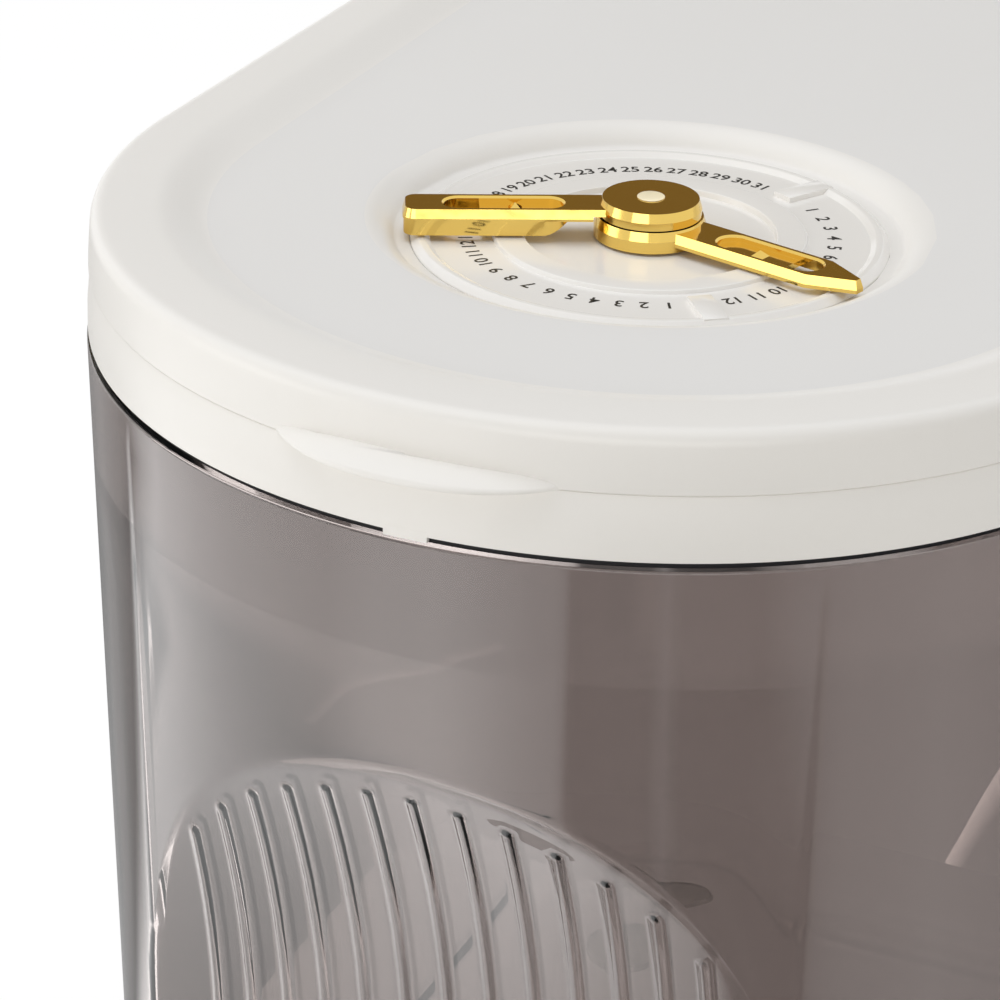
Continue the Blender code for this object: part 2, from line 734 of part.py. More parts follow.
def make_seal(skin):
    """Silicone ring between the liner's flange and the collar."""
    outer = -CROWN_INSET - COVER_WALL - 2 * GAP
    inner = -COLLAR_WIDTH - PLUG_GAP + GAP
    top = LINER_TOP - LINER_FLANGE - GAP
    low = COLLAR_TOP + GAP
    thin = top - SEAL_THICK
    profile = [(outer, top), (outer, thin), (outer - SEAL_FLARE, low), (outer - SEAL_FLARE - SEAL_LIP, low),
               (inner, thin), (inner, top)]
    return add_object("lid_seal", sweep(profile, True), skin)


# Dial


def dial_angle(clockwise):
    """Turns degrees clockwise from the back into radians anticlockwise from +X."""
    return math.radians(90.0 - clockwise)


def make_plate(skin):
    """Ring plate with an outer bead, a channel for the numerals, an inner ledge and two dividers."""
    bottom = WELL_FLOOR + GAP
    rim = PLATE_RADIUS
    inner = rim - BEAD_WIDTH
    profile = [
        (BORE_RADIUS, CENTRE_DROP), (LEDGE_INNER, CENTRE_DROP), (LEDGE_INNER + PLATE_EASE, PLATE_BEAD),
        (LEDGE_OUTER - PLATE_EASE, PLATE_BEAD), (LEDGE_OUTER, PLATE_BEAD - PLATE_EASE),
        (LEDGE_OUTER + PLATE_EASE, 0.0), (inner, 0.0), (inner + 1.5 * PLATE_EASE, 0.8 * PLATE_BEAD),
        (inner + 3 * PLATE_EASE, PLATE_BEAD), (rim - 1.5 * PLATE_EASE, 0.8 * PLATE_BEAD),
        (rim, -PLATE_EASE), (rim, bottom), (BORE_RADIUS, bottom),
    ]
    plate = turned("dial_plate", profile, DIAL_STEPS, skin, ring=True)
    day_first = DAY_ZERO + DAY_STEP
    day_last = DAY_ZERO + DAY_STEP * DAYS
    month_first = MONTH_ZERO + MONTH_STEP
    month_last = MONTH_ZERO + MONTH_STEP * MONTHS
    middles = {
        "divider_near": (month_last + day_first) / 2,
        "divider_far": (day_last + month_first + 360) / 2,
    }
    for name, middle in middles.items():
        half = DIVIDER_WIDTH / 2
        end = rim - PLATE_EASE
        block = box(name, (DIVIDER_INNER, -half, bottom / 2), (end, half, DIVIDER_RISE), tool=True,
                    place=(0.0, DIAL_Y, DIAL_HEIGHT))
        block.rotation_euler.z = dial_angle(middle)
        combine(plate, block, "UNION")
    return plate


def arm(name, outline, low, top, skin=None, tool=True):
    """A hand's arm along X: upright sides, then a steep chamfer to the flat top."""
    small = offset_outline(outline, HAND_CHAMFER_WIDE)
    return prism(name, [(outline, low), (outline, top - HAND_CHAMFER_TALL), (small, top)], skin, tool,
                 (0.0, DIAL_Y, DIAL_HEIGHT))


def hub_profile(radius, low, top):
    """A hub with a steep chamfered rim."""
    edge = top - HAND_CHAMFER_TALL
    return [(0.0, top), (radius - HUB_CHAMFER, top), (radius, edge), (radius, low), (0.0, low)]


def cut_slot(hand, name, low, top, half, turn):
    """Cuts the recess, its window and leaves a small pyramid on the recess's floor."""
    spot = (0.0, DIAL_Y, DIAL_HEIGHT)
    floor = top - SLOT_DEPTH
    slot = slot_outline(SLOT_START, SLOT_END, half, WINDOW_START, False)
    window = slot_outline(SLOT_START, SLOT_END, half, WINDOW_START, True)
    sections = [(window, low - OVERRUN), (window, floor), (slot, floor), (slot, top + OVERRUN)]
    recess = prism(name + "_recess", sections, tool=True, place=spot)
    bm = bmesh.new()
    bmesh.ops.create_cone(bm, cap_ends=True, segments=4, radius1=PYRAMID_HALF * math.sqrt(2) * 1.2,
                          radius2=PYRAMID_HALF / 10, depth=PYRAMID_RISE * 1.2)
    bmesh.ops.rotate(bm, matrix=Matrix.Rotation(math.radians(45), 3, "Z"), verts=bm.verts)
    bmesh.ops.translate(bm, vec=(PYRAMID_AT, 0.0, floor + 0.4 * PYRAMID_RISE), verts=bm.verts)
    pyramid = add_object(name + "_pyramid", bm, None, True, spot)
    for tool, operation in ((recess, "DIFFERENCE"), (pyramid, "UNION")):
        tool.rotation_euler.z = turn
        combine(hand, tool, operation)


def bore_hand(hand, name, low, top):
    """The pivot's bore."""
    above = top + OVERRUN
    below = low - OVERRUN
    profile = [(0.0, above), (BORE_RADIUS, above), (BORE_RADIUS, below), (0.0, below)]
    combine(hand, turned(name + "_bore", profile, ROUND_STEPS, tool=True), "DIFFERENCE")


def make_month_hand(skin):
    """Lower hand: a low arm with a pointed tip."""
    turn = dial_angle(MONTH_ZERO + MONTH_STEP * MONTH_SHOWN)
    hand = turned("month_hand", hub_profile(MONTH_HUB, HUB_BOTTOM, MONTH_HUB_TOP), ROUND_STEPS, skin)
    half = MONTH_HALF_WIDTH
    lower = [(HAND_ROOT, -half), (MONTH_SHOULDER, -half), (MONTH_TIP, -MONTH_TIP_HALF)]
    outline = lower + [(x, -y) for x, y in lower[::-1]]
    shape = arm("month_arm", outline, MONTH_ARM_BOTTOM, MONTH_ARM_TOP)
    shape.rotation_euler.z = turn
    combine(hand, shape, "UNION")
    cut_slot(hand, "month", MONTH_ARM_BOTTOM, MONTH_ARM_TOP, half - SLOT_LAND, turn)
    bore_hand(hand, "month", HUB_BOTTOM, MONTH_HUB_TOP)
    return hand


def side_cutter(name, outline, half):
    """A cutter with a flat outline in the arm's side view, given as (x, height)."""
    tool = prism(name, [(outline, -half), (outline, half)], tool=True, place=(0.0, DIAL_Y, DIAL_HEIGHT))
    tool.data.transform(Matrix.Rotation(math.radians(90), 4, "X"))
    return tool


def make_skirt(outline):
    """The day hand's skirt: under the arm, a bow at its inner end that narrows and rises."""
    half = DAY_HALF_WIDTH - SKIRT_INSET
    inner = SKIRT_START - SKIRT_BOW
    end = [point for point in offset_outline(outline, SKIRT_INSET) if point[0] > SKIRT_START]
    bow = []
    for step in range(5):
        share = step / 4
        width = half + (SKIRT_BOW_HALF - half) * share
        bow.append((SKIRT_START - SKIRT_BOW * share, width))
    plan = [(x, -y) for x, y in bow[::-1]] + end + bow
    top = (DAY_ARM_BOTTOM + DAY_ARM_TOP - HAND_CHAMFER_TALL) / 2
    skirt = prism("day_skirt", [(plan, DAY_SKIRT_BOTTOM), (plan, top)], tool=True,
                  place=(0.0, DIAL_Y, DIAL_HEIGHT))
    meet = (DAY_ARM_BOTTOM + top) / 2
    rise = meet - DAY_SKIRT_BOTTOM
    shares = [step / 6 for step in range(7)]
    view = [(SKIRT_START - SKIRT_BOW * share, DAY_SKIRT_BOTTOM + rise * share ** 1.4) for share in shares]
    view += [(inner - half, meet), (inner - half, DAY_SKIRT_BOTTOM - rise)]
    view += [(SKIRT_START, DAY_SKIRT_BOTTOM - rise)]
    under = side_cutter("day_under", view, 2 * half)
    combine(skirt, under, "DIFFERENCE")
    return skirt


def make_day_hand(skin):
    """Upper hand: a square tip, and a skirt that reaches down to the plate."""
    turn = dial_angle(DAY_ZERO + DAY_STEP * DAY_SHOWN)
    hand = turned("day_hand", hub_profile(DAY_HUB, DAY_HUB_BOTTOM, DAY_HUB_TOP), ROUND_STEPS, skin)
    half = DAY_HALF_WIDTH
    curve = DAY_END_ROUND
    outline = [(HAND_ROOT, -half)]
    for side in (-1, 1):
        for step in range(5):
            angle = math.radians((-90 if side < 0 else 0) + 90 * step / 4)
            x = DAY_END - curve + curve * math.cos(angle)
            outline.append((x, side * (half - curve) + curve * math.sin(angle)))
    outline.append((HAND_ROOT, half))
    shape = arm("day_arm", outline, DAY_ARM_BOTTOM, DAY_ARM_TOP)
    skirt = make_skirt(outline)
    combine(shape, skirt, "UNION")
    hub_room = MONTH_HUB + GAP
    clear = DAY_HUB_BOTTOM + GAP
    room = [(0.0, DAY_SKIRT_BOTTOM), (hub_room, DAY_SKIRT_BOTTOM), (hub_room, clear), (0.0, clear)]
    over_hub = side_cutter("day_over_hub", room, 2 * half)
    combine(shape, over_hub, "DIFFERENCE")
    for tool in (shape, skirt, over_hub):
        tool.rotation_euler.z = turn
    combine(hand, shape, "UNION")
    cut_slot(hand, "day", DAY_SKIRT_BOTTOM, DAY_ARM_TOP, half - SLOT_LAND, turn)
    bore_hand(hand, "day", DAY_SKIRT_BOTTOM, DAY_HUB_TOP)
    return hand


def make_pivot(pin_skin, washer_skin, steel_skin):
    """Pin, two slip washers, the spring washer and the clip that holds them."""
    head_low = DAY_HUB_TOP + TURN_GAP
    head_top = head_low + PIN_HEAD_RISE
    turned("pivot_pin", [
        (0.0, head_top), (PIN_HEAD_RADIUS - PIN_EASE, head_top), (PIN_HEAD_RADIUS, head_top - PIN_EASE),
        (PIN_HEAD_RADIUS, head_low), (PIN_RADIUS, head_low), (PIN_RADIUS, PIN_END + PIN_EASE),
        (PIN_RADIUS - PIN_EASE, PIN_END), (0.0, PIN_END),
    ], ROUND_STEPS, pin_skin)
    for name, low in (("washer_upper", MONTH_HUB_TOP + TURN_GAP), ("washer_lower", CENTRE_DROP + TURN_GAP)):
        top = low + (WASHER_THICK if name == "washer_upper" else HUB_BOTTOM - CENTRE_DROP - 2 * TURN_GAP)
        turned(name, [(WASHER_RADIUS, top), (WASHER_RADIUS, low), (BORE_RADIUS, low), (BORE_RADIUS, top)],
               ROUND_STEPS, washer_skin, ring=True)
    under = WELL_FLOOR - COVER_WALL - TURN_GAP
    inside = PIN_RADIUS + 2 * TURN_GAP
    turned("spring_washer", [
        (SPRING_RADIUS, under), (SPRING_RADIUS, under - WASHER_THICK),
        (inside, under - SPRING_DISH - WASHER_THICK), (inside, under - SPRING_DISH),
    ], ROUND_STEPS, steel_skin, ring=True)
    clip_top = under - SPRING_DISH - WASHER_THICK - TURN_GAP
    clip_low = clip_top - CLIP_THICK
    clip_in = PIN_RADIUS + TURN_GAP
    turned("pivot_clip", [
        (CLIP_RADIUS, clip_top), (CLIP_RADIUS, clip_low), (clip_in, clip_low), (clip_in, clip_top),
    ], ROUND_STEPS, steel_skin, ring=True)


def hang_lid():
    """Hangs the lid's pieces on an empty that lies on the hinge's axis."""
    axis = bpy.data.objects.new("lid_hinge_axis", None)
    axis.location = (0.0, HINGE_Y, HINGE_Z)
    PARTS.objects.link(axis)
    names = ("lid_cover", "lid_liner", "lid_seal", "dial_plate", "month_hand", "day_hand", "pivot_pin",
             "washer_upper", "washer_lower", "spring_washer", "pivot_clip")
    for name in names:
        piece = bpy.data.objects[name]
        piece.parent = axis
        piece.matrix_parent_inverse = Matrix.Translation(axis.location).inverted()


def main():
    start_scene()
    smoke = finish_of("smoke_clear_plastic", (0.23, 0.20, 0.19), 0.08, alpha=0.5)
    white = finish_of("white_abs", (0.86, 0.85, 0.83), 0.38)
    plate_white = finish_of("gloss_white_abs", (0.88, 0.87, 0.85), 0.15)
    gold = finish_of("gold_plate", (0.83, 0.60, 0.22), 0.14, 1.0)
    pale_gold = finish_of("pale_gold_plate", (0.90, 0.78, 0.50), 0.12, 1.0)
    steel = finish_of("steel", (0.60, 0.60, 0.60), 0.30, 1.0)
    dark_rubber = finish_of("dark_silicone", (0.02, 0.02, 0.02), 0.6)
    clear_rubber = finish_of("clear_silicone", (0.75, 0.75, 0.73), 0.5)
    slip = finish_of("slip_washer", (0.80, 0.80, 0.78), 0.5)
    make_body(smoke)
    make_feet(clear_rubber)
    make_gasket(dark_rubber)
    make_collar(white)
    make_catch(white)
    make_cover(white)
    make_liner(white)
    make_seal(clear_rubber)
    make_hinge_pins(steel)
    make_plate(plate_white)
    make_month_hand(gold)
    make_day_hand(gold)
    make_pivot(pale_gold, slip, steel)
    hang_lid()


main()
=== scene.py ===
# %% [markdown]
# # A rice bin with a date dial
# This lesson dresses a measured model of a kitchen bin: a smoke-tinted clear box, a white hinged lid, and a
# dial of days and months with two gold-plated hands. The measured solids are loaded first and never moved.
# Finer shells with rounded edges are then drawn over those that show, at the very same sizes.

# %% Load the measured solids
import math

import bmesh
import bpy
from mathutils import Matrix, Vector


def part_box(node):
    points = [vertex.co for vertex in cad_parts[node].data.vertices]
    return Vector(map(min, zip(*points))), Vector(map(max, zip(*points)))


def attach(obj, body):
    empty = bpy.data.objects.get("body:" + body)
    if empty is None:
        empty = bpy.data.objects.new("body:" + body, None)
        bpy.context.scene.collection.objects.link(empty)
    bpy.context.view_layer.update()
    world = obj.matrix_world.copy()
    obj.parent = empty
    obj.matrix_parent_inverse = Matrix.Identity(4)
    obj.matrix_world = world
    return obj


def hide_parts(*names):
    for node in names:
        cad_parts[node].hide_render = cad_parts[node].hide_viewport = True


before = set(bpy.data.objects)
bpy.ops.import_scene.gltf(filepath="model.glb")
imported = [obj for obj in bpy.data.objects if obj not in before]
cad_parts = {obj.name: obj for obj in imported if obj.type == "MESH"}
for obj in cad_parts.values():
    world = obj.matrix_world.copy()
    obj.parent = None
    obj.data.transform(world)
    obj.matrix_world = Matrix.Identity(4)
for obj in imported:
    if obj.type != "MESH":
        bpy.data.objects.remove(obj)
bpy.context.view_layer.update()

# %% [markdown]
# ## Sizes
# A maker's drawing of such a bin is in millimetres, so the sizes here are too, and one factor turns them into
# Blender's metres. Heights on the lid are counted from the face that the numbers are printed on. One bore
# radius serves the dial's pin and the hinge's pins alike.

# %% Sizes shared by several pieces
MM = 0.001
LID_RADIUS = 92.3
LID_BACK = 184.5
CORNER_RADIUS = 32.0
SIDE_FLARE = 0.85
ARC_Y = -47.9
DIAL_Y = ARC_Y - 1.3
DIAL_Z = 245.0
BACK_Y = ARC_Y + LID_BACK
HINGE_Y = BACK_Y + 5.0
HINGE_Z = DIAL_Z - 4.0
BORE = 1.6

low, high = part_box("dial_plate")
print("dial plate centre, mm:", [round((a + b) / 2 / MM, 2) for a, b in zip(low, high)])

# %% [markdown]
# ## From rows of points to a skin
# Moulded plastic is one skin that runs on from face to face. A skin drawn as rows of points, each row a
# closed ring round the piece, gives full control of every rounding. Extruding and bevelling a block would
# do too, but the roundings would break up where the plan goes from arc to straight.

# %% Rows of points become one mesh
def skin(rows, closed=False):
    """Joins each ring of points to the next one; closed joins the last ring to the first."""
    bm = bmesh.new()
    rings = [[bm.verts.new(Vector(p) * MM) for p in row] for row in rows]
    pairs = list(zip(rings, rings[1:])) + ([(rings[-1], rings[0])] if closed else [])
    for near, far in pairs:
        for i in range(len(near)):
            bm.faces.new((near[i - 1], near[i], far[i], far[i - 1]))
    if not closed:
        for ring in (rings[0], rings[-1]):
            if (ring[0].co - ring[len(ring) // 2].co).length > 0.01 * MM:
                bm.faces.new(ring)
    bmesh.ops.remove_doubles(bm, verts=bm.verts, dist=0.002 * MM)
    bmesh.ops.recalc_face_normals(bm, faces=bm.faces)
    return bm


def soften(corners, steps=5):
    """Rounds a profile: each corner is (across, up, radius)."""
    path = []
    for i, (x, z, radius) in enumerate(corners):
        here = Vector((x, z))
        if radius == 0 or i in (0, len(corners) - 1):
            path.append((x, z))
            continue
        back = Vector(corners[i - 1][:2]) - here
        on = Vector(corners[i + 1][:2]) - here
        reach = radius / math.tan(max(back.angle(on), 0.2) / 2)
        start = here + back.normalized() * min(reach, 0.49 * back.length)
        end = here + on.normalized() * min(reach, 0.49 * on.length)
        for step in range(steps + 1):
            t = step / steps
            path.append(tuple(start * (1 - t) ** 2 + here * 2 * t * (1 - t) + end * t * t))
    return path


corner = soften([(0, 0, 0), (4, 0, 1), (4, 4, 0)], 2)
print("a softened corner:", [tuple(round(v, 2) for v in p) for p in corner])

# %% [markdown]
# The lid, the collar and the box share one plan: a half circle in front, sides that flare by less than a
# degree, and round corners behind. Each station on that line keeps its outward direction, so that any offset
# from it is one step away.

# %% The shared plan
def spread(first, last, steps):
    """Even steps from first to last, both included."""
    return [first + (last - first) * step / steps for step in range(steps + 1)]


def arc(x, y, radius, first, last, steps):
    """Points on an arc, from one direction to another in degrees."""
    turns = [math.radians(degrees) for degrees in spread(first, last, steps)]
    return [(x + radius * math.cos(t), y + radius * math.sin(t)) for t in turns]


def plan(front, corner_steps=16, straight_steps=8):
    """Stations (x, y, outward x, outward y), anticlockwise; front lists directions on the front arc."""
    back = BACK_Y - CORNER_RADIUS
    flare = math.radians(SIDE_FLARE)
    side = (LID_RADIUS - CORNER_RADIUS + (back - ARC_Y) * math.sin(flare)) / math.cos(flare)
    arcs = [(0, ARC_Y, LID_RADIUS, front), (side, back, CORNER_RADIUS, spread(-SIDE_FLARE, 90, corner_steps)),
            (-side, back, CORNER_RADIUS, spread(90, 180 + SIDE_FLARE, corner_steps))]
    line = []

    def straight_to(end):
        x, y, nx, ny = line[-1]
        for step in range(1, straight_steps):
            t = step / straight_steps
            line.append((x + (end[0] - x) * t, y + (end[1] - y) * t, nx, ny))

    for x, y, radius, turns in arcs:
        normals = [(math.cos(math.radians(t)), math.sin(math.radians(t))) for t in turns]
        stretch = [(x + radius * nx, y + radius * ny, nx, ny) for nx, ny in normals]
        if line:
            straight_to(stretch[0])
        line += stretch
    straight_to(line[0])
    return line


LID_LINE = plan(spread(180 + SIDE_FLARE, 360 - SIDE_FLARE, 120))


def ring_at(offset, height):
    """One row at an offset outside the lid's line, at a height from the dial's face."""
    return [(x + nx * offset, y + ny * offset, DIAL_Z + height) for x, y, nx, ny in LID_LINE]


def turned_rows(profile, steps, x=0.0, y=DIAL_Y, z=DIAL_Z):
    """Rows of a turned piece, from (radius, height) points."""
    return [[(*p, z + h) for p in arc(x, y, r, 0, 360, steps)[:-1]] for r, h in profile]


print("stations on the lid's line:", len(LID_LINE))

# %% [markdown]
# ## Colours and nodes
# Colours are picked as sRGB hex values, as a paint or pigment chart gives them, and one function turns them
# into the linear values that shaders work with.

# %% Helpers for finishes
def linear(code):
    """A hex colour as linear red, green, blue and alpha."""
    parts = [int(code[i:i + 2], 16) / 255 for i in (1, 3, 5)]
    return [v / 12.92 if v <= 0.04045 else ((v + 0.055) / 1.055) ** 2.4 for v in parts] + [1.0]


def add_node(tree, kind, links=None, **settings):
    """Adds a node; settings are its own fields, links are socket values or sockets to join."""
    node = tree.nodes.new("ShaderNode" + kind)
    for field, value in settings.items():
        setattr(node, field, value)
    for socket, value in (links or {}).items():
        if isinstance(value, bpy.types.NodeSocket):
            tree.links.new(value, node.inputs[socket])
        else:
            node.inputs[socket].default_value = value
    return node


def finish(name, colour, roughness, **constants):
    """A new Principled material; returns it, its tree, its shader and the object's own space."""
    made = bpy.data.materials.new(name)
    made.use_nodes = True
    shader = made.node_tree.nodes["Principled BSDF"]
    shader.inputs["Base Color"].default_value = linear(colour)
    shader.inputs["Roughness"].default_value = roughness
    for socket, value in constants.items():
        shader.inputs[socket.replace("_", " ")].default_value = value
    place = add_node(made.node_tree, "TexCoord").outputs["Object"]
    return made, made.node_tree, shader, place


def per_metre(size_mm):
    """The scale that gives a noise its features at a size in millimetres."""
    return 1.0 / (size_mm * MM)


def relief(tree, shader, place, size_mm, strength, height_mm, detail=1.0):
    """A fine relief on a surface, from a noise that is drawn as a bump; returns the noise."""
    noise = add_node(tree, "TexNoise", {"Vector": place, "Scale": per_metre(size_mm), "Detail": detail})
    pattern = noise.outputs["Fac"]
    bump = add_node(tree, "Bump", {"Height": pattern, "Strength": strength, "Distance": height_mm * MM})
    tree.links.new(bump.outputs["Normal"], shader.inputs["Normal"])
    return pattern


print("mid grey in linear light:", round(linear("#808080")[0], 3))

# %% [markdown]
# ** ABS, injection moulded, spark-eroded mould.** ABS is an off-white resin with a soft sheen. The mould is
# roughened by sparks, which leaves a grain of up to 0.3 mm and scatters the highlights. The grain is drawn as
# a faint bump, a little coarser than it is, so that it shows. The sheen varies where the melt cooled at
# different speeds. The lid's plateau is rougher, and its colour is painted greyer as painted shade; the
# dial's plate is polished.

# %% White ABS with a fine grain
GRAIN_HEIGHT = 0.05
CLOUD_SIZE = 40
CLOUD_TINT = 0.985


def moulded(name, colour, roughness, grain_mm, depth, change=0.05, **constants):
    """A moulded plastic: a grain in the bump, slow clouds in the roughness and the colour."""
    made, tree, shader, place = finish(name, colour, roughness, **constants)
    relief(tree, shader, place, grain_mm, depth, GRAIN_HEIGHT, 2.0)
    noise = add_node(tree, "TexNoise", {"Vector": place, "Scale": per_metre(CLOUD_SIZE), "Detail": 1.0})
    clouds = noise.outputs["Fac"]
    sheen = add_node(tree, "MapRange", {"Value": clouds, "To Min": roughness - change,
                                        "To Max": roughness + change})
    tree.links.new(sheen.outputs["Result"], shader.inputs["Roughness"])
    tint = add_node(tree, "MixRGB", {"Fac": clouds, "Color1": linear(colour),
                                     "Color2": [v * CLOUD_TINT for v in linear(colour)[:3]] + [1.0]})
    tree.links.new(tint.outputs["Color"], shader.inputs["Base Color"])
    return made


ABS_IOR = 1.53
white_abs = moulded("white_abs_moulded", "#F1EEE9", 0.36, 0.35, 0.25, IOR=ABS_IOR)
# The plateau's copy is painted greyer than the white ABS, as painted shade.
painted_shade_abs = moulded("white_abs_painted_shade", "#EBE9E6", 0.42, 0.5, 0.3, IOR=ABS_IOR)
dial_abs = moulded("white_abs_polished", "#F6F3EE", 0.16, 0.8, 0.04, 0.03, IOR=ABS_IOR)
liner_abs = moulded("white_abs_matt", "#ECE9E4", 0.48, 0.4, 0.3, IOR=ABS_IOR)
print("made:", white_abs.name, painted_shade_abs.name, dial_abs.name, liner_abs.name)

# %% [markdown]
# ** Gold over bright nickel, electroplated on ABS.** The plating is thin and mirror-like, so it shows every
# dark and bright thing around it. It is a metal, so the IOR stays at its default. Hand polishing before
# plating leaves faint waves, about 3 mm long. The pin's head is tumbled instead, so it is satin; its plate is
# painted paler than the gold as a painted highlight.

# %% Gold plating
POLISHING_WAVE = 3


def plated(name, colour, roughness):
    """Electroplated metal with faint polishing waves."""
    made, tree, shader, place = finish(name, colour, roughness, Metallic=1.0)
    waves = relief(tree, shader, place, POLISHING_WAVE, 0.12, 0.1)
    film = add_node(tree, "MapRange", {"Value": waves, "To Min": roughness * 0.7, "To Max": roughness * 1.3})
    tree.links.new(film.outputs["Result"], shader.inputs["Roughness"])
    return made


gold = plated("gold_plate_on_abs", "#E9C66A", 0.09)
# Painted highlight: the pin's plate is a paler, brighter copy of the gold.
painted_highlight_gold = plated("pale_gold_plate", "#FAF1D6", 0.62)
print("made:", gold.name, painted_highlight_gold.name)

# %% [markdown]
# **SAN, a clear styrene resin with a smoke pigment.** It is moulded in a polished mould, so both faces are
# glossy and light passes twice through each wall. The tint is that of one face of a wall 2.4 mm thick. The
# melt leaves long, faint ripples, 18 mm apart and stretched upwards, which bend what is seen through it.

# %% Smoke-tinted SAN
SAN_IOR = 1.57
RIPPLE_SIZE = 18
smoke, tree, shader, place = finish("smoke_san_clear", "#A9A09D", 0.0, IOR=SAN_IOR, Transmission_Weight=1.0)
flow = add_node(tree, "Mapping", {"Vector": place, "Scale": (1.0, 1.0, 0.25)}).outputs["Vector"]
relief(tree, shader, flow, RIPPLE_SIZE, 0.15, 0.2)
print("made:", smoke.name)

# %% [markdown]
# **Small parts.** Silicone for the seals and feet, drawn steel for the hinge pins, spring steel for the
# washer and clip under the dial, nylon for the slip washers, and black pad-printing ink for the numbers.

# %% Finishes of the small parts
SILICONE_IOR = 1.41
DRAWN_LINE = 0.2
frosted_silicone = moulded("silicone_frosted", "#EDEDEA", 0.45, 0.5, 0.2, IOR=SILICONE_IOR,
                           Transmission_Weight=0.85)
dark_silicone = moulded("silicone_black", "#17161A", 0.55, 0.5, 0.2, IOR=SILICONE_IOR)
nylon = moulded("nylon_natural", "#DCDAD2", 0.45, 0.6, 0.15, IOR=1.53)
print_ink = moulded("pad_print_ink_black", "#141312", 0.5, 0.2, 0.1, IOR=1.5)

# The wire is drawn through a die along X. Its lines, 0.2 mm apart, are coarser than real, so that they show.
steel, tree, shader, place = finish("drawn_steel", "#B4B5B7", 0.28, Metallic=1.0)
along = add_node(tree, "Mapping", {"Vector": place, "Scale": (0.02, 1.0, 1.0)}).outputs["Vector"]
relief(tree, shader, along, DRAWN_LINE, 0.2, 0.02, 2.0)
print("made:", steel.name, frosted_silicone.name, dark_silicone.name, nylon.name, print_ink.name)

# %% [markdown]
# ## Putting a piece in its place
# Each piece rides on the body that carries it, takes the material it is given, and may stand for one of the
# measured solids, which is then hidden.

# %% One way to add a piece
def placed(name, bm, material=None):
    """An object in the scene, from a mesh and its material."""
    mesh = bpy.data.meshes.new(name)
    bm.to_mesh(mesh)
    bm.free()
    if material:
        mesh.materials.append(material)
    thing = bpy.data.objects.new(name, mesh)
    bpy.context.scene.collection.objects.link(thing)
    return thing


def add_piece(name, bm, material, body, stands_for=(), crease=38):
    """Makes a piece, shades it smooth up to the crease angle and seats it."""
    thing = placed(name, bm, material)
    thing.data.shade_smooth()
    thing.data.set_sharp_from_angle(angle=math.radians(crease))
    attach(thing, body)
    if stands_for:
        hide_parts(*stands_for)
    print(name, "faces:", len(thing.data.polygons))
    return thing


# %% One way to cut and join meshes
def carved(bm, tools):
    """Applies Booleans to a mesh: tools are (operation, mesh) pairs."""
    things = [placed("raw", part) for part in [bm] + [tool for _, tool in tools]]
    meshes = [thing.data for thing in things]
    for (operation, _), tool in zip(tools, things[1:]):
        step = things[0].modifiers.new("cut", "BOOLEAN")
        step.operation = operation
        step.solver = "EXACT"
        step.object = tool
    graph = bpy.context.evaluated_depsgraph_get()
    result = bmesh.new()
    result.from_mesh(things[0].evaluated_get(graph).to_mesh())
    for thing in things:
        bpy.data.objects.remove(thing, do_unlink=True)
    for mesh in meshes:
        bpy.data.meshes.remove(mesh)
    return result


# %% [markdown]
# ## The lid
# The cover is one shell. From outside in: a short wall, a rounded crown, a flat band, a soft S-shaped step
# down to the plateau, and the dial's well with a rounded lip. Between the plateau's arch-shaped edge and the
# well's circle the rows blend from one shape to the other, which keeps the plateau truly flat.

# %% The cover's step, the dial's rings and the rows between them
WELL_LIP = 47.0
WELL_FLOOR = -2.2
WELL_RADIUS = 39.1
LIP_RADIUS = 6.0
BAND_EDGE = 11.5
PLATEAU_EDGE = 20.5
PLATEAU = 3.2
CROWN = 5.8
CEILING = 3.6


def step_down(t):
    """A point of the S-shaped step, from the band at 0 to the plateau at 1."""
    fall = (1 - math.cos(math.pi * t)) / 2
    return -BAND_EDGE - (PLATEAU_EDGE - BAND_EDGE) * t, CROWN + (PLATEAU - CROWN) * fall


def around_dial(radius, height):
    """A ring round the dial whose points face the stations on the lid's line."""
    ring = []
    for x, y, nx, ny in LID_LINE:
        away = Vector((x - nx * PLATEAU_EDGE, y - ny * PLATEAU_EDGE - DIAL_Y)).normalized()
        ring.append((away.x * radius, DIAL_Y + away.y * radius, DIAL_Z + height))
    return ring


def blend_rows(near, far, steps):
    """Rows between two rings."""
    between = spread(0, 1, steps)[1:-1]
    return [[tuple(Vector(a).lerp(Vector(b), t)) for a, b in zip(near, far)] for t in between]


# %% The cover, from the pin's bore out over the lid and back under it
def well_profile():
    """The dial's well as (radius, height) points: floor, wall, seat, and the rounded lip."""
    lip = arc(WELL_LIP, PLATEAU - LIP_RADIUS, LIP_RADIUS, 90, 154, 12)
    seat = [(BORE, WELL_FLOOR, 0), (WELL_RADIUS, WELL_FLOOR, 0.4), (WELL_RADIUS, -0.5, 0.3), (*lip[-1], 1.5),
            (*lip[-3], 0)]
    return soften(seat)[:-1] + lip[-3::-1]


OUTER_SECTION = [
    (-11.0, CROWN, 0), (-1.2, CROWN, 2.6), (-0.7, -1.0, 0), (-0.6, -3.8, 0.35), (-2.9, -3.8, 0.3),
    (-3.4, 2.2, 0), (-3.4, CEILING, 1.2), (-14.0, CEILING, 0), (-17.5, 1.0, 0), (-PLATEAU_EDGE, 1.0, 0),
]
CUP_SECTION = [(49.2, 1.0), (49.2, -0.1), (43.4, -1.2), (43.4, -4.4), (BORE, -4.4)]
cover_rows = [around_dial(r, h) for r, h in well_profile()]
outside = [step_down(t) for t in spread(0, 1, 14)[::-1]] + soften(OUTER_SECTION, 7)
cover_rows += blend_rows(cover_rows[-1], ring_at(*outside[0]), 6)
cover_rows += [ring_at(o, h) for o, h in outside]
cover_rows += blend_rows(cover_rows[-1], around_dial(*CUP_SECTION[0]), 4)
cover_rows += [around_dial(r, h) for r, h in CUP_SECTION]
cover_mesh = skin(cover_rows, closed=True)
cover = add_piece("cover_shell", cover_mesh, white_abs, "lid", ["lid_cover"])
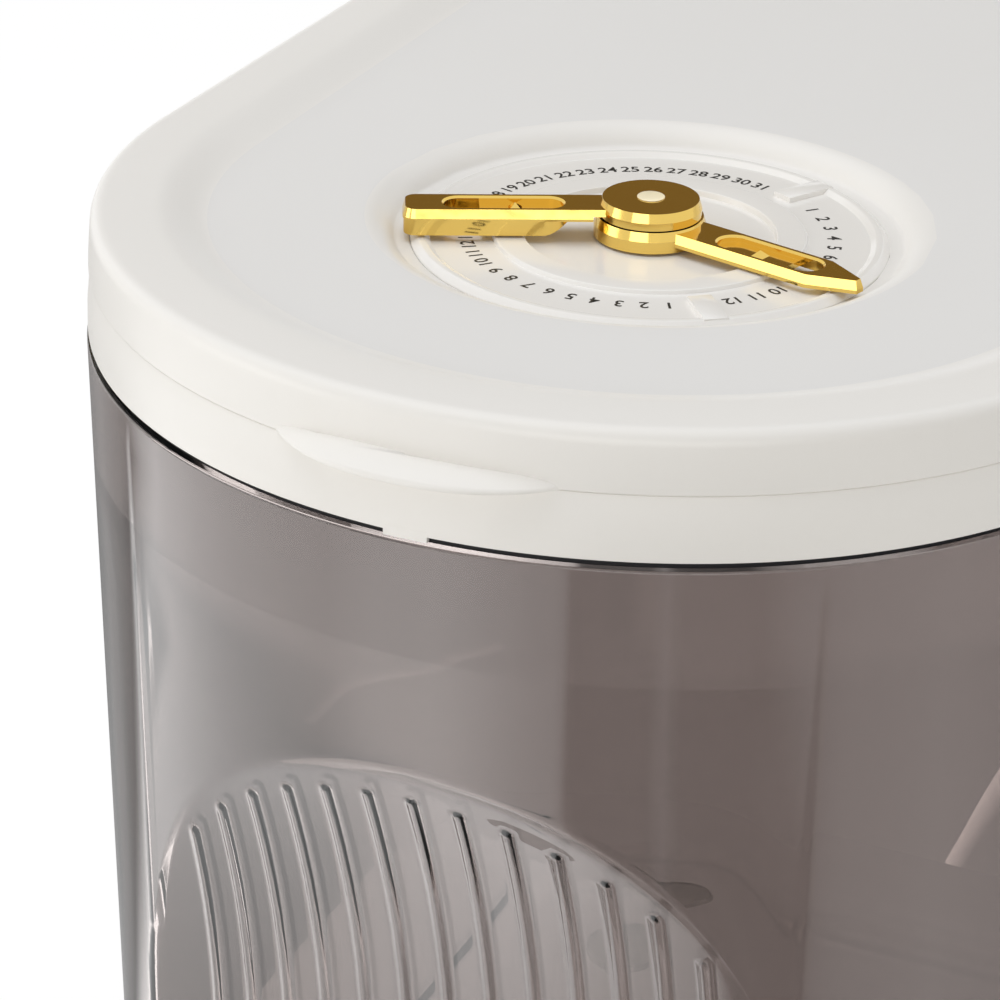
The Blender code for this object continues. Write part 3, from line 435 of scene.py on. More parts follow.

# %% The plateau, painted greyer as painted shade
SAME_LEVEL = 0.05
# The plateau's faces get a copy of the white ABS that is painted greyer: painted shade, with a rougher sheen.
cover.data.materials.append(painted_shade_abs)
for face in cover.data.polygons:
    heights = [cover.data.vertices[i].co.z / MM - DIAL_Z for i in face.vertices]
    if all(abs(height - PLATEAU) < SAME_LEVEL for height in heights):
        face.material_index = 1
print("faces of the etched plateau:", sum(face.material_index for face in cover.data.polygons))

# %% [markdown]
# The finger tab is a crescent that swells out of the lid's front and fades into its wall at both ends. Its
# top slopes down to a thin rounded nose.

# %% The finger tab
TAB_HALF_ANGLE = 14.4
TAB_REACH = 5.4
TAB_ROOT = -1.0
TAB_BEHIND = -1.9
TAB_LOW = -3.9
TAB_END_THICKNESS = 0.45
TAB_FULLNESS = 2.6


def tab_rows():
    """Crescents from the tab's underside to its top, each drawn back a little from the nose."""
    section = soften([(1.2, TAB_LOW, 0), (0.0, TAB_LOW, 0.5), (0.0, -2.9, 0.8), (3.6, -1.5, 0)], 7)
    rows = []
    for back, height in section:
        nose, root = [], []
        for i in range(61):
            share = i / 30 - 1
            turn = math.radians(TAB_HALF_ANGLE * share)
            swell = 1 - abs(share) ** TAB_FULLNESS
            reach = TAB_ROOT + (TAB_REACH - TAB_ROOT) * swell - back * min(1.0, 1.6 * swell)
            level = TAB_LOW + (height - TAB_LOW) * (TAB_END_THICKNESS + (1 - TAB_END_THICKNESS) * swell)
            nose.append((LID_RADIUS + reach, turn, level))
            root.append((LID_RADIUS + TAB_BEHIND, turn, level))
        rows.append([(r * math.sin(t), ARC_Y - r * math.cos(t), DIAL_Z + z) for r, t, z in nose + root[::-1]])
    return rows


add_piece("finger_tab", skin(tab_rows()), white_abs, "lid", ["lid_cover"])

# %% [markdown]
# ## The hinge
# Two hinge stations: the cover has one knuckle at each, the collar has two round it. A knuckle is a tube
# round the steel pin, on a web that grows out of the wall behind the lid.

# %% Knuckles and their webs
STATION_X = 38.0
KNUCKLE_RADIUS = 4.0
COVER_KNUCKLE_HALF = 8
COLLAR_KNUCKLE_START = 8.4
COLLAR_KNUCKLE_LENGTH = 10


def along_x(profile, start, end, edge=0.35):
    """A closed outline of (y, z) points round the hinge's axis, drawn along X with eased ends."""
    middle = sum((Vector(p) for p in profile), Vector((0, 0))) / len(profile)
    rows = []
    for x, inset in ((start, edge), (start + edge, 0), (end - edge, 0), (end, edge)):
        row = []
        for p in profile:
            spot = Vector(p) - (Vector(p) - middle).normalized() * inset
            row.append((x, HINGE_Y + spot.x, HINGE_Z + spot.y))
        rows.append(row)
    return skin(rows)


def knuckle(start, end):
    """A tube round the pin with rounded ends."""
    profile = soften([(BORE, 0, 0), (KNUCKLE_RADIUS, 0, 0.4), (KNUCKLE_RADIUS, end - start, 0.4),
                      (BORE, end - start, 0)])
    circles = [(start + along, arc(HINGE_Y, HINGE_Z, r, 0, 360, 48)[:-1]) for r, along in profile]
    return skin([[(x, y, z) for y, z in circle] for x, circle in circles], closed=True)


COVER_WEB = [(-7.2, 0.2), (-3.9, 0.2), (-2.6, 1.6), (0.0, 2.5), (0.0, 4.0), (-7.2, 4.0)]
COLLAR_WEB = [(-6.9, -6.0), (0.0, -6.0), (0.0, -2.5), (-2.6, -1.6), (-3.9, -0.2), (-6.9, -0.2)]
for side, word in ((-1, "left"), (1, "right")):
    at = STATION_X * side
    span = (at - COVER_KNUCKLE_HALF, at + COVER_KNUCKLE_HALF)
    add_piece(f"cover_knuckle_{word}", knuckle(*span), white_abs, "lid", ["lid_cover"])
    add_piece(f"cover_web_{word}", along_x(COVER_WEB, *span), white_abs, "lid", ["lid_cover"])
    for end, way in (("outer", side), ("inner", -side)):
        start = at + way * COLLAR_KNUCKLE_START
        span = sorted((start, start + way * COLLAR_KNUCKLE_LENGTH))
        add_piece(f"collar_knuckle_{word}_{end}", knuckle(*span), white_abs, "bin", ["collar"])
        add_piece(f"collar_web_{word}_{end}", along_x(COLLAR_WEB, *span), white_abs, "bin",
                  ["collar"])

# %% [markdown]
# ## The collar
# A white ring that is clipped over the box's neck. Its outer face leans in a little towards the lid. In
# front, a small lug hangs from its lower edge, and all round a black silicone ring fills the joint below it.

# %% The collar
COLLAR_TOP = -3.88
COLLAR_BOTTOM = -14.2
COLLAR_SECTION = [
    (-1.2, COLLAR_BOTTOM, 0), (-0.2, COLLAR_BOTTOM, 0.3), (-0.3, -9.5, 0), (-0.9, COLLAR_TOP, 0.3),
    (-8.7, COLLAR_TOP, 0.5), (-8.7, -12.0, 0.5), (-6.7, -12.0, 0.5), (-6.7, -6.4, 0), (-2.8, -6.4, 0.4),
    (-2.25, COLLAR_BOTTOM, 0.3), (-1.2, COLLAR_BOTTOM, 0),
]
collar_rows = [ring_at(o, h) for o, h in soften(COLLAR_SECTION)[:-1]]
add_piece("collar_ring", skin(collar_rows, closed=True), white_abs, "bin", ["collar"], 30)

# %% The lug
LUG_HALF = 3.5
LUG_FRONT = -0.2
LUG_BACK = -1.1
LUG_LEVELS = ((0, COLLAR_BOTTOM + 0.9), (0, COLLAR_BOTTOM - 0.75), (0.06, -15.09), (0.2, -15.15))
lug_rows = []
for ease, height in LUG_LEVELS:
    front, back = LID_RADIUS + LUG_FRONT - ease, LID_RADIUS + LUG_BACK + ease
    turns = spread(-(LUG_HALF - ease) / LID_RADIUS, (LUG_HALF - ease) / LID_RADIUS, 8)
    outline = [(front * math.sin(t), -front * math.cos(t)) for t in turns]
    outline += [(back * math.sin(t), -back * math.cos(t)) for t in turns[::-1]]
    lug_rows.append([(x, y + ARC_Y, DIAL_Z + height) for x, y in outline])
add_piece("collar_lug", skin(lug_rows), white_abs, "bin", ["collar_catch"], 30)

# %% The black ring
SHOULDER_TOP = -15.45
RING_LOW = SHOULDER_TOP + 0.02
RING_HIGH = COLLAR_BOTTOM - 0.05
RING_SECTION = [
    (-1.7, RING_LOW, 0), (-1.4, RING_LOW, 0.1), (-1.4, RING_HIGH, 0.2), (-2.0, RING_HIGH, 0.1),
    (-2.0, RING_LOW, 0.1), (-1.7, RING_LOW, 0),
]
ring_rows = [ring_at(o, h) for o, h in soften(RING_SECTION)[:-1]]
ring_mesh = skin(ring_rows, closed=True)
add_piece("black_ring", ring_mesh, dark_silicone, "bin", ["rim_gasket"], 30)

# %% [markdown]
# ## The box
# The box is a thin clear shell. In front, a shallow scoop for the hand cuts into the half-round wall: its
# face is bowed back, and upright ribs stop the hand from slipping. The rows of points follow the scoop's
# arch-shaped edge, so that its rounded rim stays crisp.

# %% The scoop's shape
WALL = 2.4
NECK = -3.9
RIM_Z = DIAL_Z - 6.7
SHOULDER_Z = DIAL_Z + SHOULDER_TOP
FLOOR_Z = 2.5
GRIP_Z = DIAL_Z - 127.0
GRIP_HALF = 71.8
GRIP_DEPTH = 17.0
GRIP_ANGLE = math.radians(40)
GRIP_LEAST_HALF = 15.0
GRIP_EDGE = 0.35
WALL_LEAN = 1.05
RIB_PITCH = 4.83
RIBS_BESIDE = 6
RIB_HALF = 1.4
RIB_HEIGHT = 0.6
RIB_END = 0.8
RIB_INSET = 4.5


def wall_offset(z):
    """The wall meets the lid's line at the shoulder and leans in towards the floor."""
    return -(SHOULDER_Z - z) * math.tan(math.radians(WALL_LEAN))


GRIP_RADIUS = LID_RADIUS + wall_offset(GRIP_Z)
GRIP_SIDE = GRIP_RADIUS * math.sin(GRIP_ANGLE)
GRIP_BOW = (GRIP_RADIUS * (1 - math.cos(GRIP_ANGLE)) - GRIP_DEPTH) / GRIP_SIDE ** 2


def grip_height(x):
    """Half the scoop's height at a distance from its middle."""
    reach = min(abs(x), GRIP_RADIUS * 0.999)
    rise = GRIP_RADIUS - math.sqrt(GRIP_RADIUS ** 2 - reach ** 2) - GRIP_BOW * reach ** 2
    inside = 1 - rise / GRIP_DEPTH if reach < GRIP_SIDE else 0
    return max(GRIP_HALF * math.sqrt(max(inside, 0)), GRIP_LEAST_HALF)


def smooth_max(a, b, round_off):
    """The larger of two depths, with a rounded change from one to the other."""
    return (a + b + math.sqrt((a - b) ** 2 + round_off ** 2)) / 2


print("scoop: half height in the middle", round(grip_height(0), 1), "at 50 mm", round(grip_height(50), 1))

# %% Ribs on the scoop
def rib_rise(x, z):
    """How far a rib stands out of the scoop at a point; its ends are round."""
    angle = math.degrees(math.asin(max(-1, min(1, x / GRIP_RADIUS))))
    nearest = max(-RIBS_BESIDE, min(RIBS_BESIDE, round(angle / RIB_PITCH)))
    middle = GRIP_RADIUS * math.sin(math.radians(nearest * RIB_PITCH))
    across = (x - middle) / RIB_HALF
    end = grip_height(middle) - RIB_INSET
    along = max(0.0, (abs(z - GRIP_Z) - (end - RIB_END)) / RIB_END)
    away = math.hypot(across, along)
    return RIB_HEIGHT * (0.5 + 0.5 * math.cos(math.pi * away)) if away < 1 else 0.0


def box_point(station, offset, z, thicker=0.0, ribbed=False):
    """A point on the box's wall, pushed back where the scoop is."""
    x0, y0, nx, ny = station
    x, y = x0 + nx * offset, y0 + ny * offset
    if ny < 0 and abs(x) < GRIP_RADIUS:
        radius = LID_RADIUS + wall_offset(z)
        reach = (z - GRIP_Z) / GRIP_HALF
        scoop = ARC_Y - radius + GRIP_DEPTH * (1 - reach * reach) + GRIP_BOW * x * x + thicker
        y = smooth_max(y, scoop, GRIP_EDGE)
        if ribbed:
            y -= rib_rise(x, z)
    return (x, y, z)


def box_directions(pitches=17, per_pitch=16):
    """Directions round the front: close together over the scoop, where the ribs are, wider beside it."""
    scoop_end = pitches / 2 * RIB_PITCH
    inner = spread(-scoop_end, scoop_end, pitches * per_pitch)
    outer = spread(scoop_end, 90 - SIDE_FLARE, 24)[1:]
    return [270 + a for a in [-b for b in outer[::-1]] + inner + outer]


BOX_LINE = plan(box_directions())
print("stations round the box:", len(BOX_LINE))

# %% Rows of points for the box
OUTER_CUTS = [-3.0, -1.5, -0.7, 0.0, 0.7, 1.5, 2.5, 3.5, 4.2, 4.7, 5.2, 5.7, 6.2, 6.8, 7.6]
INNER_CUTS = OUTER_CUTS[:8] + [6.0]
SHARES = [0.93, 0.83, 0.7, 0.56, 0.42, 0.28, 0.14]


def even_ring(offset, z):
    """One row round the box at a height, without the scoop."""
    return [(x + nx * offset, y + ny * offset, z) for x, y, nx, ny in BOX_LINE]


def scoop_rows(inset, thicker, ribbed, cuts):
    """Rows over the scoop's height, from the bottom up: cuts are steps in from its edge, in mm."""
    marks = [(-1, c, 1) for c in cuts] + [(-1, cuts[-1], s) for s in SHARES] + [(1, cuts[-1], 0)]
    marks += [(1, cuts[-1], s) for s in SHARES[::-1]] + [(1, c, 1) for c in cuts[::-1]]
    rows = []
    for side, cut, share in marks:
        row = []
        for station in BOX_LINE:
            half = grip_height(station[0]) if station[3] < 0 else GRIP_LEAST_HALF
            z = GRIP_Z + side * (half - cut) * share
            row.append(box_point(station, wall_offset(z) - inset, z, thicker, ribbed))
        rows.append(row)
    return rows


# %% The box, from the middle of its underside out, up, over the rim and down inside
BASE_THICKNESS = 3
HEEL_OUTSIDE = 7
HEEL_INSIDE = 10
SCOOP_WALL = 1.1 * WALL


def heel_rows(floor, radius, inset):
    """The rounding between the floor and the wall, from the floor up."""
    section = arc(-inset - radius, floor + radius, radius, 270, 360, 6)
    return [even_ring(wall_offset(z) + offset, z) for offset, z in section]


def below_shoulder(drop, inset):
    """A point of the wall's section at a depth below the shoulder."""
    return wall_offset(SHOULDER_Z - drop) - inset, SHOULDER_Z - drop


NECK_SECTION = [
    (*below_shoulder(6, 0), 0), (0, SHOULDER_Z, 0.45), (NECK, SHOULDER_Z, 0.3), (NECK, RIM_Z, 0.5),
    (NECK - WALL, RIM_Z, 0.5), (NECK - WALL, SHOULDER_Z - 0.8, 2.0), (*below_shoulder(18.8, WALL), 90.0),
    (*below_shoulder(36, WALL), 0),
]
box_rows = heel_rows(FLOOR_Z, HEEL_OUTSIDE, 0)
box_rows += scoop_rows(0.0, 0.0, True, OUTER_CUTS)
box_rows += [even_ring(o, z) for o, z in soften(NECK_SECTION, 8)]
box_rows += scoop_rows(WALL, SCOOP_WALL, False, INNER_CUTS)[::-1]
box_rows += heel_rows(FLOOR_Z + BASE_THICKNESS, HEEL_INSIDE, WALL)[::-1]
add_piece("smoke_box", skin(box_rows), smoke, "bin", ["container_body"])

# %% [markdown]
# ## The dial
# A white plate, polished, with a bead round its rim, a flat channel that carries the numbers, a raised
# ledge and a mirror-smooth centre. Two low blocks part the days from the months.

# %% The plate
PLATE_RADIUS = 39.06
PLATE_UNDER = -1.9
CENTRE = -0.3
LEDGE = 0.7
PLATE_SECTION = [
    (BORE, CENTRE, 0), (20.5, CENTRE, 0.15), (20.8, LEDGE, 0.3), (25.5, LEDGE, 0.35), (25.8, 0.0, 0.2),
    (35.9, 0.0, 0.4), (36.9, LEDGE, 0.8), (37.9, LEDGE, 0.6), (PLATE_RADIUS, -0.35, 0.4),
    (PLATE_RADIUS, PLATE_UNDER, 0.2), (BORE, PLATE_UNDER, 0),
]
plate_mesh = skin(turned_rows(soften(PLATE_SECTION, 6), 256), closed=True)
add_piece("dial_disc", plate_mesh, dial_abs, "lid", ["dial_plate"])

# %% The dividers between days and months
# Numbers stand clockwise from the back, in degrees: where number 0 would be, and the step to the next.
DAY_ZERO, DAY_STEP = 144.3, 7.481
MONTH_ZERO, MONTH_STEP = 33.11, 8.239
DIVIDER_START = 28.4
DIVIDER_LENGTH, DIVIDER_WIDTH = 9.6, 4.0
DIVIDER_LOW, DIVIDER_TOP = -0.5, 0.9


def clockwise(degrees_from_back):
    """A dial angle as radians anticlockwise from +X."""
    return math.radians(90 - degrees_from_back)


def eased_block(length, width, low_z, high_z, ease):
    """A block along X from 0 with eased upper edges."""
    rows = []
    for inset, z in ((0, low_z), (0, high_z - ease), (0.3 * ease, high_z - 0.3 * ease), (ease, high_z)):
        x0, x1, y = inset, length - inset, width / 2 - inset
        rows.append([(x0, -y, z), (x1, -y, z), (x1, y, z), (x0, y, z)])
    return rows


near_middle = (MONTH_ZERO + 12 * MONTH_STEP + DAY_ZERO + DAY_STEP) / 2
far_middle = (DAY_ZERO + 31 * DAY_STEP - 360 + MONTH_ZERO + MONTH_STEP) / 2
for word, middle in (("near", near_middle), ("far", far_middle)):
    turn = Matrix.Rotation(clockwise(middle), 3, "Z")
    block = eased_block(DIVIDER_LENGTH, DIVIDER_WIDTH, DIVIDER_LOW, DIVIDER_TOP, 0.25)
    rows = [[tuple(turn @ Vector((x + DIVIDER_START, y, z)) + Vector((0, DIAL_Y, DIAL_Z))) for x, y, z in row]
            for row in block]
    add_piece(f"divider_{word}", skin(rows), dial_abs, "lid", ["dial_plate"])

# %% [markdown]
# The numbers are pad-printed: a film of ink a few hundredths of a millimetre thick. Days 1 to 31 run
# clockwise over two thirds of the ring, months 1 to 12 over the rest, all with their tops outward.

# %% The printed numbers
NUMBER_RADIUS = 30.0
NUMBER_HEIGHT = 2.4
DIGIT_SHARE = 0.73
INK_THICKNESS = 0.03
INK_SPREAD = 0.05


def print_number(ring, text, degrees):
    """Adds a number to a mesh as flat outlines; a digit takes up a share of the letter's size."""
    letter = bpy.data.curves.new("number", "FONT")
    letter.body = text
    letter.align_x = "CENTER"
    letter.align_y = "CENTER"
    letter.size = NUMBER_HEIGHT / DIGIT_SHARE * MM
    letter.offset = INK_SPREAD * MM
    letter.resolution_u = 4
    thing = bpy.data.objects.new("number", letter)
    bpy.context.scene.collection.objects.link(thing)
    flat = thing.evaluated_get(bpy.context.evaluated_depsgraph_get()).to_mesh()
    turn = Matrix.Rotation(-math.radians(degrees), 4, "Z")
    shift = Matrix.Translation(Vector((0, DIAL_Y, DIAL_Z + INK_THICKNESS)) * MM)
    flat.transform(shift @ turn @ Matrix.Translation(Vector((0, NUMBER_RADIUS, 0)) * MM))
    ring.from_mesh(flat)
    bpy.data.objects.remove(thing, do_unlink=True)
    bpy.data.curves.remove(letter)


def printed_ring(count, first, step):
    """The numbers from 1 to count as one mesh."""
    ring = bmesh.new()
    for number in range(1, count + 1):
        print_number(ring, str(number), first + step * number)
    return ring


add_piece("day_numbers", printed_ring(31, DAY_ZERO, DAY_STEP), print_ink, "lid")
add_piece("month_numbers", printed_ring(12, MONTH_ZERO, MONTH_STEP), print_ink, "lid")

# %% [markdown]
# ## The hands
# Each hand is a hub and an arm with wide, steep chamfers. A long slot is sunk into the arm: its outer end is
# a window over the number, and a small pyramid stands on its floor. The lower hand shows the month, the
# upper one the day; the day hand has a skirt below its arm that reaches down to the plate.

# %% Outlines and prisms for the hands
ARM_CHAMFER = 0.45


def inset_outline(points, distance):
    """Moves each side of an anticlockwise outline inwards."""
    moved = []
    for i, here in enumerate(points):
        before = Vector(here) - Vector(points[i - 1])
        after = Vector(points[(i + 1) % len(points)]) - Vector(here)
        left = Vector((-before.y, before.x)).normalized()
        right = Vector((-after.y, after.x)).normalized()
        mean = (left + right).normalized()
        moved.append(tuple(Vector(here) + mean * (distance / mean.dot(left))))
    return moved


def prism(sections):
    """A solid through outlines, each a list of (x, y) and a height."""
    return skin([[(x, y, z) for x, y in outline] for outline, z in sections])


def arm_of(outline, low_z, edge_z, high_z):
    """An arm with a chamfer from an edge up to its top."""
    return prism([(outline, low_z), (outline, edge_z), (inset_outline(outline, ARM_CHAMFER), high_z)])


# %% The slot that is sunk into each hand
SLOT_START, SLOT_END = 14.2, 33.6
WINDOW_START = 27.8
SLOT_DEPTH = 1.1
SLOT_CHAMFER = 0.35
PYRAMID_X = 22.0
PYRAMID_HEIGHT = 1.2
PYRAMID_CORNER = 1.87
PAST = 2


def slot_outline(half, square):
    """The slot's plan; square gives the window's plan, with as many points."""
    outer_end = arc(SLOT_END - half, 0, half, -90, 90, 28)
    inner_end = [(WINDOW_START if square else x, y) for x, y in arc(SLOT_START + half, 0, half, 90, 270, 28)]
    return outer_end + [(WINDOW_START, half)] + inner_end + [(WINDOW_START, -half)]


def hand_tools(low_z, high_z, half):
    """What is cut from or added to every hand: slot with window, pyramid, bore. The cuts reach past it."""
    floor = high_z - SLOT_DEPTH
    window, slot = slot_outline(half, True), slot_outline(half, False)
    wide = inset_outline(slot, -SLOT_CHAMFER)
    recess = prism([(window, low_z - PAST), (window, floor), (slot, floor), (slot, high_z - SLOT_CHAMFER),
                    (wide, high_z), (wide, high_z + PAST)])
    pyramid = bmesh.new()
    bmesh.ops.create_cone(pyramid, cap_ends=True, segments=4, radius1=PYRAMID_CORNER * MM, radius2=0.03 * MM,
                          depth=PYRAMID_HEIGHT * MM)
    bmesh.ops.rotate(pyramid, matrix=Matrix.Rotation(math.radians(45), 3, "Z"), verts=pyramid.verts)
    middle = Vector((PYRAMID_X, 0, floor + PYRAMID_HEIGHT / 3)) * MM
    bmesh.ops.translate(pyramid, vec=middle, verts=pyramid.verts)
    bore = [(0.0, high_z + 3), (BORE, high_z + 3), (BORE, low_z - PAST), (0.0, low_z - PAST)]
    return [("DIFFERENCE", recess), ("UNION", pyramid), ("DIFFERENCE", skin(turned_rows(bore, 48, 0, 0, 0)))]


# %% One hand from its blanks
HUB_CHAMFER = 0.5
HUB_CHAMFER_HEIGHT = 1.5
HAND_CREASE = 12
POLISHED_EDGE = 0.06
POLISHED_ANGLE = 14


def hub(radius, low_z, high_z):
    """A disc with a steep chamfer round its top."""
    section = [(0.0, high_z), (radius - HUB_CHAMFER, high_z), (radius, high_z - HUB_CHAMFER_HEIGHT),
               (radius, low_z), (0.0, low_z)]
    return skin(turned_rows(section, 128, 0, 0, 0))


def add_hand(name, body, hub_mesh, arm, tools, dial_degrees):
    """Joins hub and arm, turns the hand to its number, seats it and eases its edges as polishing does."""
    bm = carved(hub_mesh, [("UNION", arm)] + tools)
    place = Matrix.Translation(Vector((0, DIAL_Y, DIAL_Z)) * MM)
    bm.transform(place @ Matrix.Rotation(clockwise(dial_degrees), 4, "Z"))
    thing = add_piece(name + "_gold", bm, gold, body, [name], HAND_CREASE)
    ease = thing.modifiers.new("polished edges", "BEVEL")
    ease.width = POLISHED_EDGE * MM
    ease.segments = 2
    ease.limit_method = "ANGLE"
    ease.angle_limit = math.radians(POLISHED_ANGLE)
    ease.harden_normals = True


# %% The month hand
MONTH_LOW, MONTH_EDGE, MONTH_TOP = 1.1, 1.7, 3.2
MONTH_HUB = (9.2, 0.15, 3.6)
MONTH_SLOT_HALF = 2.8
MONTH_SHOWN = 8.71
month_lower = [(4.0, -4.2), (33.5, -4.2), (41.2, -0.9)]
month_outline = month_lower + [(x, -y) for x, y in month_lower[::-1]]
month_arm = arm_of(month_outline, MONTH_LOW, MONTH_EDGE, MONTH_TOP)
month_tools = hand_tools(MONTH_LOW, MONTH_TOP, MONTH_SLOT_HALF)
month_turn = MONTH_ZERO + MONTH_STEP * MONTH_SHOWN
add_hand("month_hand", "months", hub(*MONTH_HUB), month_arm, month_tools, month_turn)

# %% The day hand's outlines
DAY_LOW, DAY_EDGE, DAY_TOP = 3.6, 4.0, 5.5
DAY_HALF, DAY_CORNER, DAY_END = 3.9, 2.2, 40.3
SKIRT_LOW, SKIRT_HIGH = 1.1, 3.8
SKIRT_START, BOW_LENGTH = 17.6, 4.9


def day_outline():
    """The arm's plan, square at its end with round corners."""
    x, y = DAY_END - DAY_CORNER, DAY_HALF - DAY_CORNER
    corners = arc(x, -y, DAY_CORNER, -90, 0, 14) + arc(x, y, DAY_CORNER, 0, 90, 14)
    return [(4.0, -DAY_HALF)] + corners + [(4.0, DAY_HALF)]


def across_arm(side_view):
    """A block that runs across the arm, from its outline seen from the side."""
    block = prism([(side_view, -8), (side_view, 8)])
    block.transform(Matrix.Rotation(math.radians(90), 4, "X"))
    return block


# %% The day hand
def day_arm():
    """The arm with the skirt below it, the skirt's bow at the inner end, and room over the lower hub."""
    outline = day_outline()
    ends = [p for p in inset_outline(outline, 0.15) if p[0] > SKIRT_START]
    shares = spread(0, 1, 16)
    bow_side = [(SKIRT_START - BOW_LENGTH * t, 1.4 + 2.35 * math.cos(math.pi * t / 2)) for t in shares]
    skirt_plan = [(x, -y) for x, y in bow_side[::-1]] + ends + bow_side
    rise = [(SKIRT_START - BOW_LENGTH * t, SKIRT_LOW + 2.6 * t ** 1.8) for t in shares]
    under = across_arm(rise + [(8.8, 3.7), (8.8, -1.4), (SKIRT_START, -1.4)])
    skirt = carved(prism([(skirt_plan, SKIRT_LOW), (skirt_plan, SKIRT_HIGH)]), [("DIFFERENCE", under)])
    room = across_arm([(0, 1.1), (9.5, 1.1), (9.5, 4.4), (0, 4.4)])
    return carved(arm_of(outline, DAY_LOW, DAY_EDGE, DAY_TOP), [("UNION", skirt), ("DIFFERENCE", room)])


DAY_HUB = (8.4, 3.75, 6.5)
DAY_SLOT_HALF = 2.5
DAY_SHOWN = 13.25
day_tools = hand_tools(SKIRT_LOW, DAY_TOP, DAY_SLOT_HALF)
add_hand("day_hand", "days", hub(*DAY_HUB), day_arm(), day_tools, DAY_ZERO + DAY_STEP * DAY_SHOWN)

# %% [markdown]
# The pin's head is a low dome in the middle of the upper hub, painted pale as a painted highlight.

# %% The pivot pin
PIN_RADIUS = 1.5
PIN_END = -6.8
HEAD_RADIUS = 2.25
HEAD_UNDER, HEAD_EDGE, HEAD_RISE = 6.55, 6.6, 0.4
dome = [(HEAD_RADIUS * math.sin(math.radians(a)), HEAD_EDGE + HEAD_RISE * math.cos(math.radians(a)))
        for a in spread(0, 90, 10)]
pin_section = dome + soften([(HEAD_RADIUS, HEAD_UNDER, 0), (PIN_RADIUS, HEAD_UNDER, 0),
                             (PIN_RADIUS, PIN_END, 0.3), (0.0, PIN_END, 0)])
add_piece("pin_with_head", skin(turned_rows(pin_section, 64)), painted_highlight_gold, "lid",
          ["pivot_pin"])

# %% [markdown]
# ## The solids that stay
# Pieces that are hidden or very small keep their measured solid and only get their finish. The other solids
# get theirs too, although a finer piece stands for them.

# %% Finishes for the measured solids
FINISHES = [
    (liner_abs, ["lid_liner"]),
    (white_abs, ["collar", "collar_catch", "lid_cover"]),
    (dial_abs, ["dial_plate"]),
    (smoke, ["container_body"]),
    (frosted_silicone, ["lid_seal"] + [f"foot_{end}_{side}" for end in ("front", "back")
                                       for side in ("left", "right")]),
    (dark_silicone, ["rim_gasket"]),
    (steel, ["hinge_pin_left", "hinge_pin_right", "spring_washer", "pivot_clip"]),
    (nylon, ["washer_upper", "washer_lower"]),
    (gold, ["month_hand", "day_hand"]),
    (painted_highlight_gold, ["pivot_pin"]),
]
for material, node_names in FINISHES:
    for node_name in node_names:
        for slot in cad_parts[node_name].material_slots:
            slot.material = material
print("measured solids with a finish:", sum(len(names) for _, names in FINISHES), "of", len(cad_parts))

# %% [markdown]
# ## The studio
# A pale floor, a white surround and three soft lamps: a wide one over the bin, one at the front right and a
# broad one at the left. The lamps light the white plastic, and mirrors and clear walls do not see them. Their
# hard rectangles would show twice in each clear wall, so what the mirrors see is drawn apart, below.

# %% Helpers for the studio
WHITE = (1, 1, 1, 1)


def bare_tree(owner):
    """The emptied node tree of a material or a world."""
    owner.use_nodes = True
    owner.node_tree.nodes.clear()
    return owner.node_tree


def seen_directly(tree):
    """1 for rays from the camera, off mirrors and through clear walls; 0 for light that lights the bin."""
    path = add_node(tree, "LightPath")
    seen = path.outputs["Is Camera Ray"]
    for kind in ("Is Glossy Ray", "Is Transmission Ray"):
        seen = add_node(tree, "Math", {0: seen, 1: path.outputs[kind]}, operation="MAXIMUM").outputs[0]
    return seen


def sheet(width, height):
    """A flat sheet, in metres."""
    bm = bmesh.new()
    bmesh.ops.create_grid(bm, x_segments=1, y_segments=1, size=0.5)
    bmesh.ops.scale(bm, vec=(width, height, 1), verts=bm.verts)
    return bm


# %% Floor and surround
PAPER_GLOW = 1.06
GLOW_SHARE = 0.85
FILL = 0.45
FLOOR_SIZE = 8


def floor_paper():
    """Pale paper that the camera sees almost white, with the bin's shadow kept."""
    made = bpy.data.materials.new("studio_paper")
    tree = bare_tree(made)
    paper = add_node(tree, "BsdfDiffuse", {"Color": linear("#F4F3F1")})
    glow = add_node(tree, "Emission", {"Color": WHITE, "Strength": PAPER_GLOW})
    share = add_node(tree, "Math", {0: seen_directly(tree), 1: GLOW_SHARE}, operation="MULTIPLY")
    mix = add_node(tree, "MixShader", {0: share.outputs[0], 1: paper.outputs[0], 2: glow.outputs[0]})
    add_node(tree, "OutputMaterial", {"Surface": mix.outputs[0]})
    return made


def surround():
    """White to the camera, to mirrors and through clear walls; a plain fill light to everything else."""
    world = bpy.data.worlds.new("studio")
    bpy.context.scene.world = world
    tree = bare_tree(world)
    strength = add_node(tree, "MapRange", {"Value": seen_directly(tree), "To Min": FILL, "To Max": 1.0})
    back = add_node(tree, "Background", {"Color": WHITE, "Strength": strength.outputs["Result"]})
    add_node(tree, "OutputWorld", {"Surface": back.outputs[0]})


surround()
studio_floor = placed("studio_floor", sheet(FLOOR_SIZE, FLOOR_SIZE), floor_paper())
print("stage set:", studio_floor.name)

# %% Lamps
def softbox(name, size, spot, radiance, colour):
    """A rectangular lamp, as bright as its radiance from any side it faces."""
    lamp = bpy.data.lights.new(name, "AREA")
    lamp.shape = "RECTANGLE"
    lamp.size, lamp.size_y = size
    lamp.energy = radiance * math.pi * size[0] * size[1]
    lamp.color = linear(colour)[:3]
    thing = bpy.data.objects.new(name, lamp)
    thing.location = spot
    thing.rotation_euler = (Vector((0, 0, 0.2)) - Vector(spot)).to_track_quat("-Z", "Y").to_euler()
    thing.visible_glossy = thing.visible_transmission = False
    bpy.context.scene.collection.objects.link(thing)


softbox("overhead_softbox", (1.3, 1.0), (-0.35, -0.15, 1.6), 2.5, "#F7FAFF")
softbox("front_right_softbox", (0.9, 0.5), (0.75, -1.35, 0.45), 2.4, "#FFFBF2")
softbox("front_left_softbox", (1.2, 1.2), (-1.5, -0.6, 0.62), 1.45, "#FFFDF8")

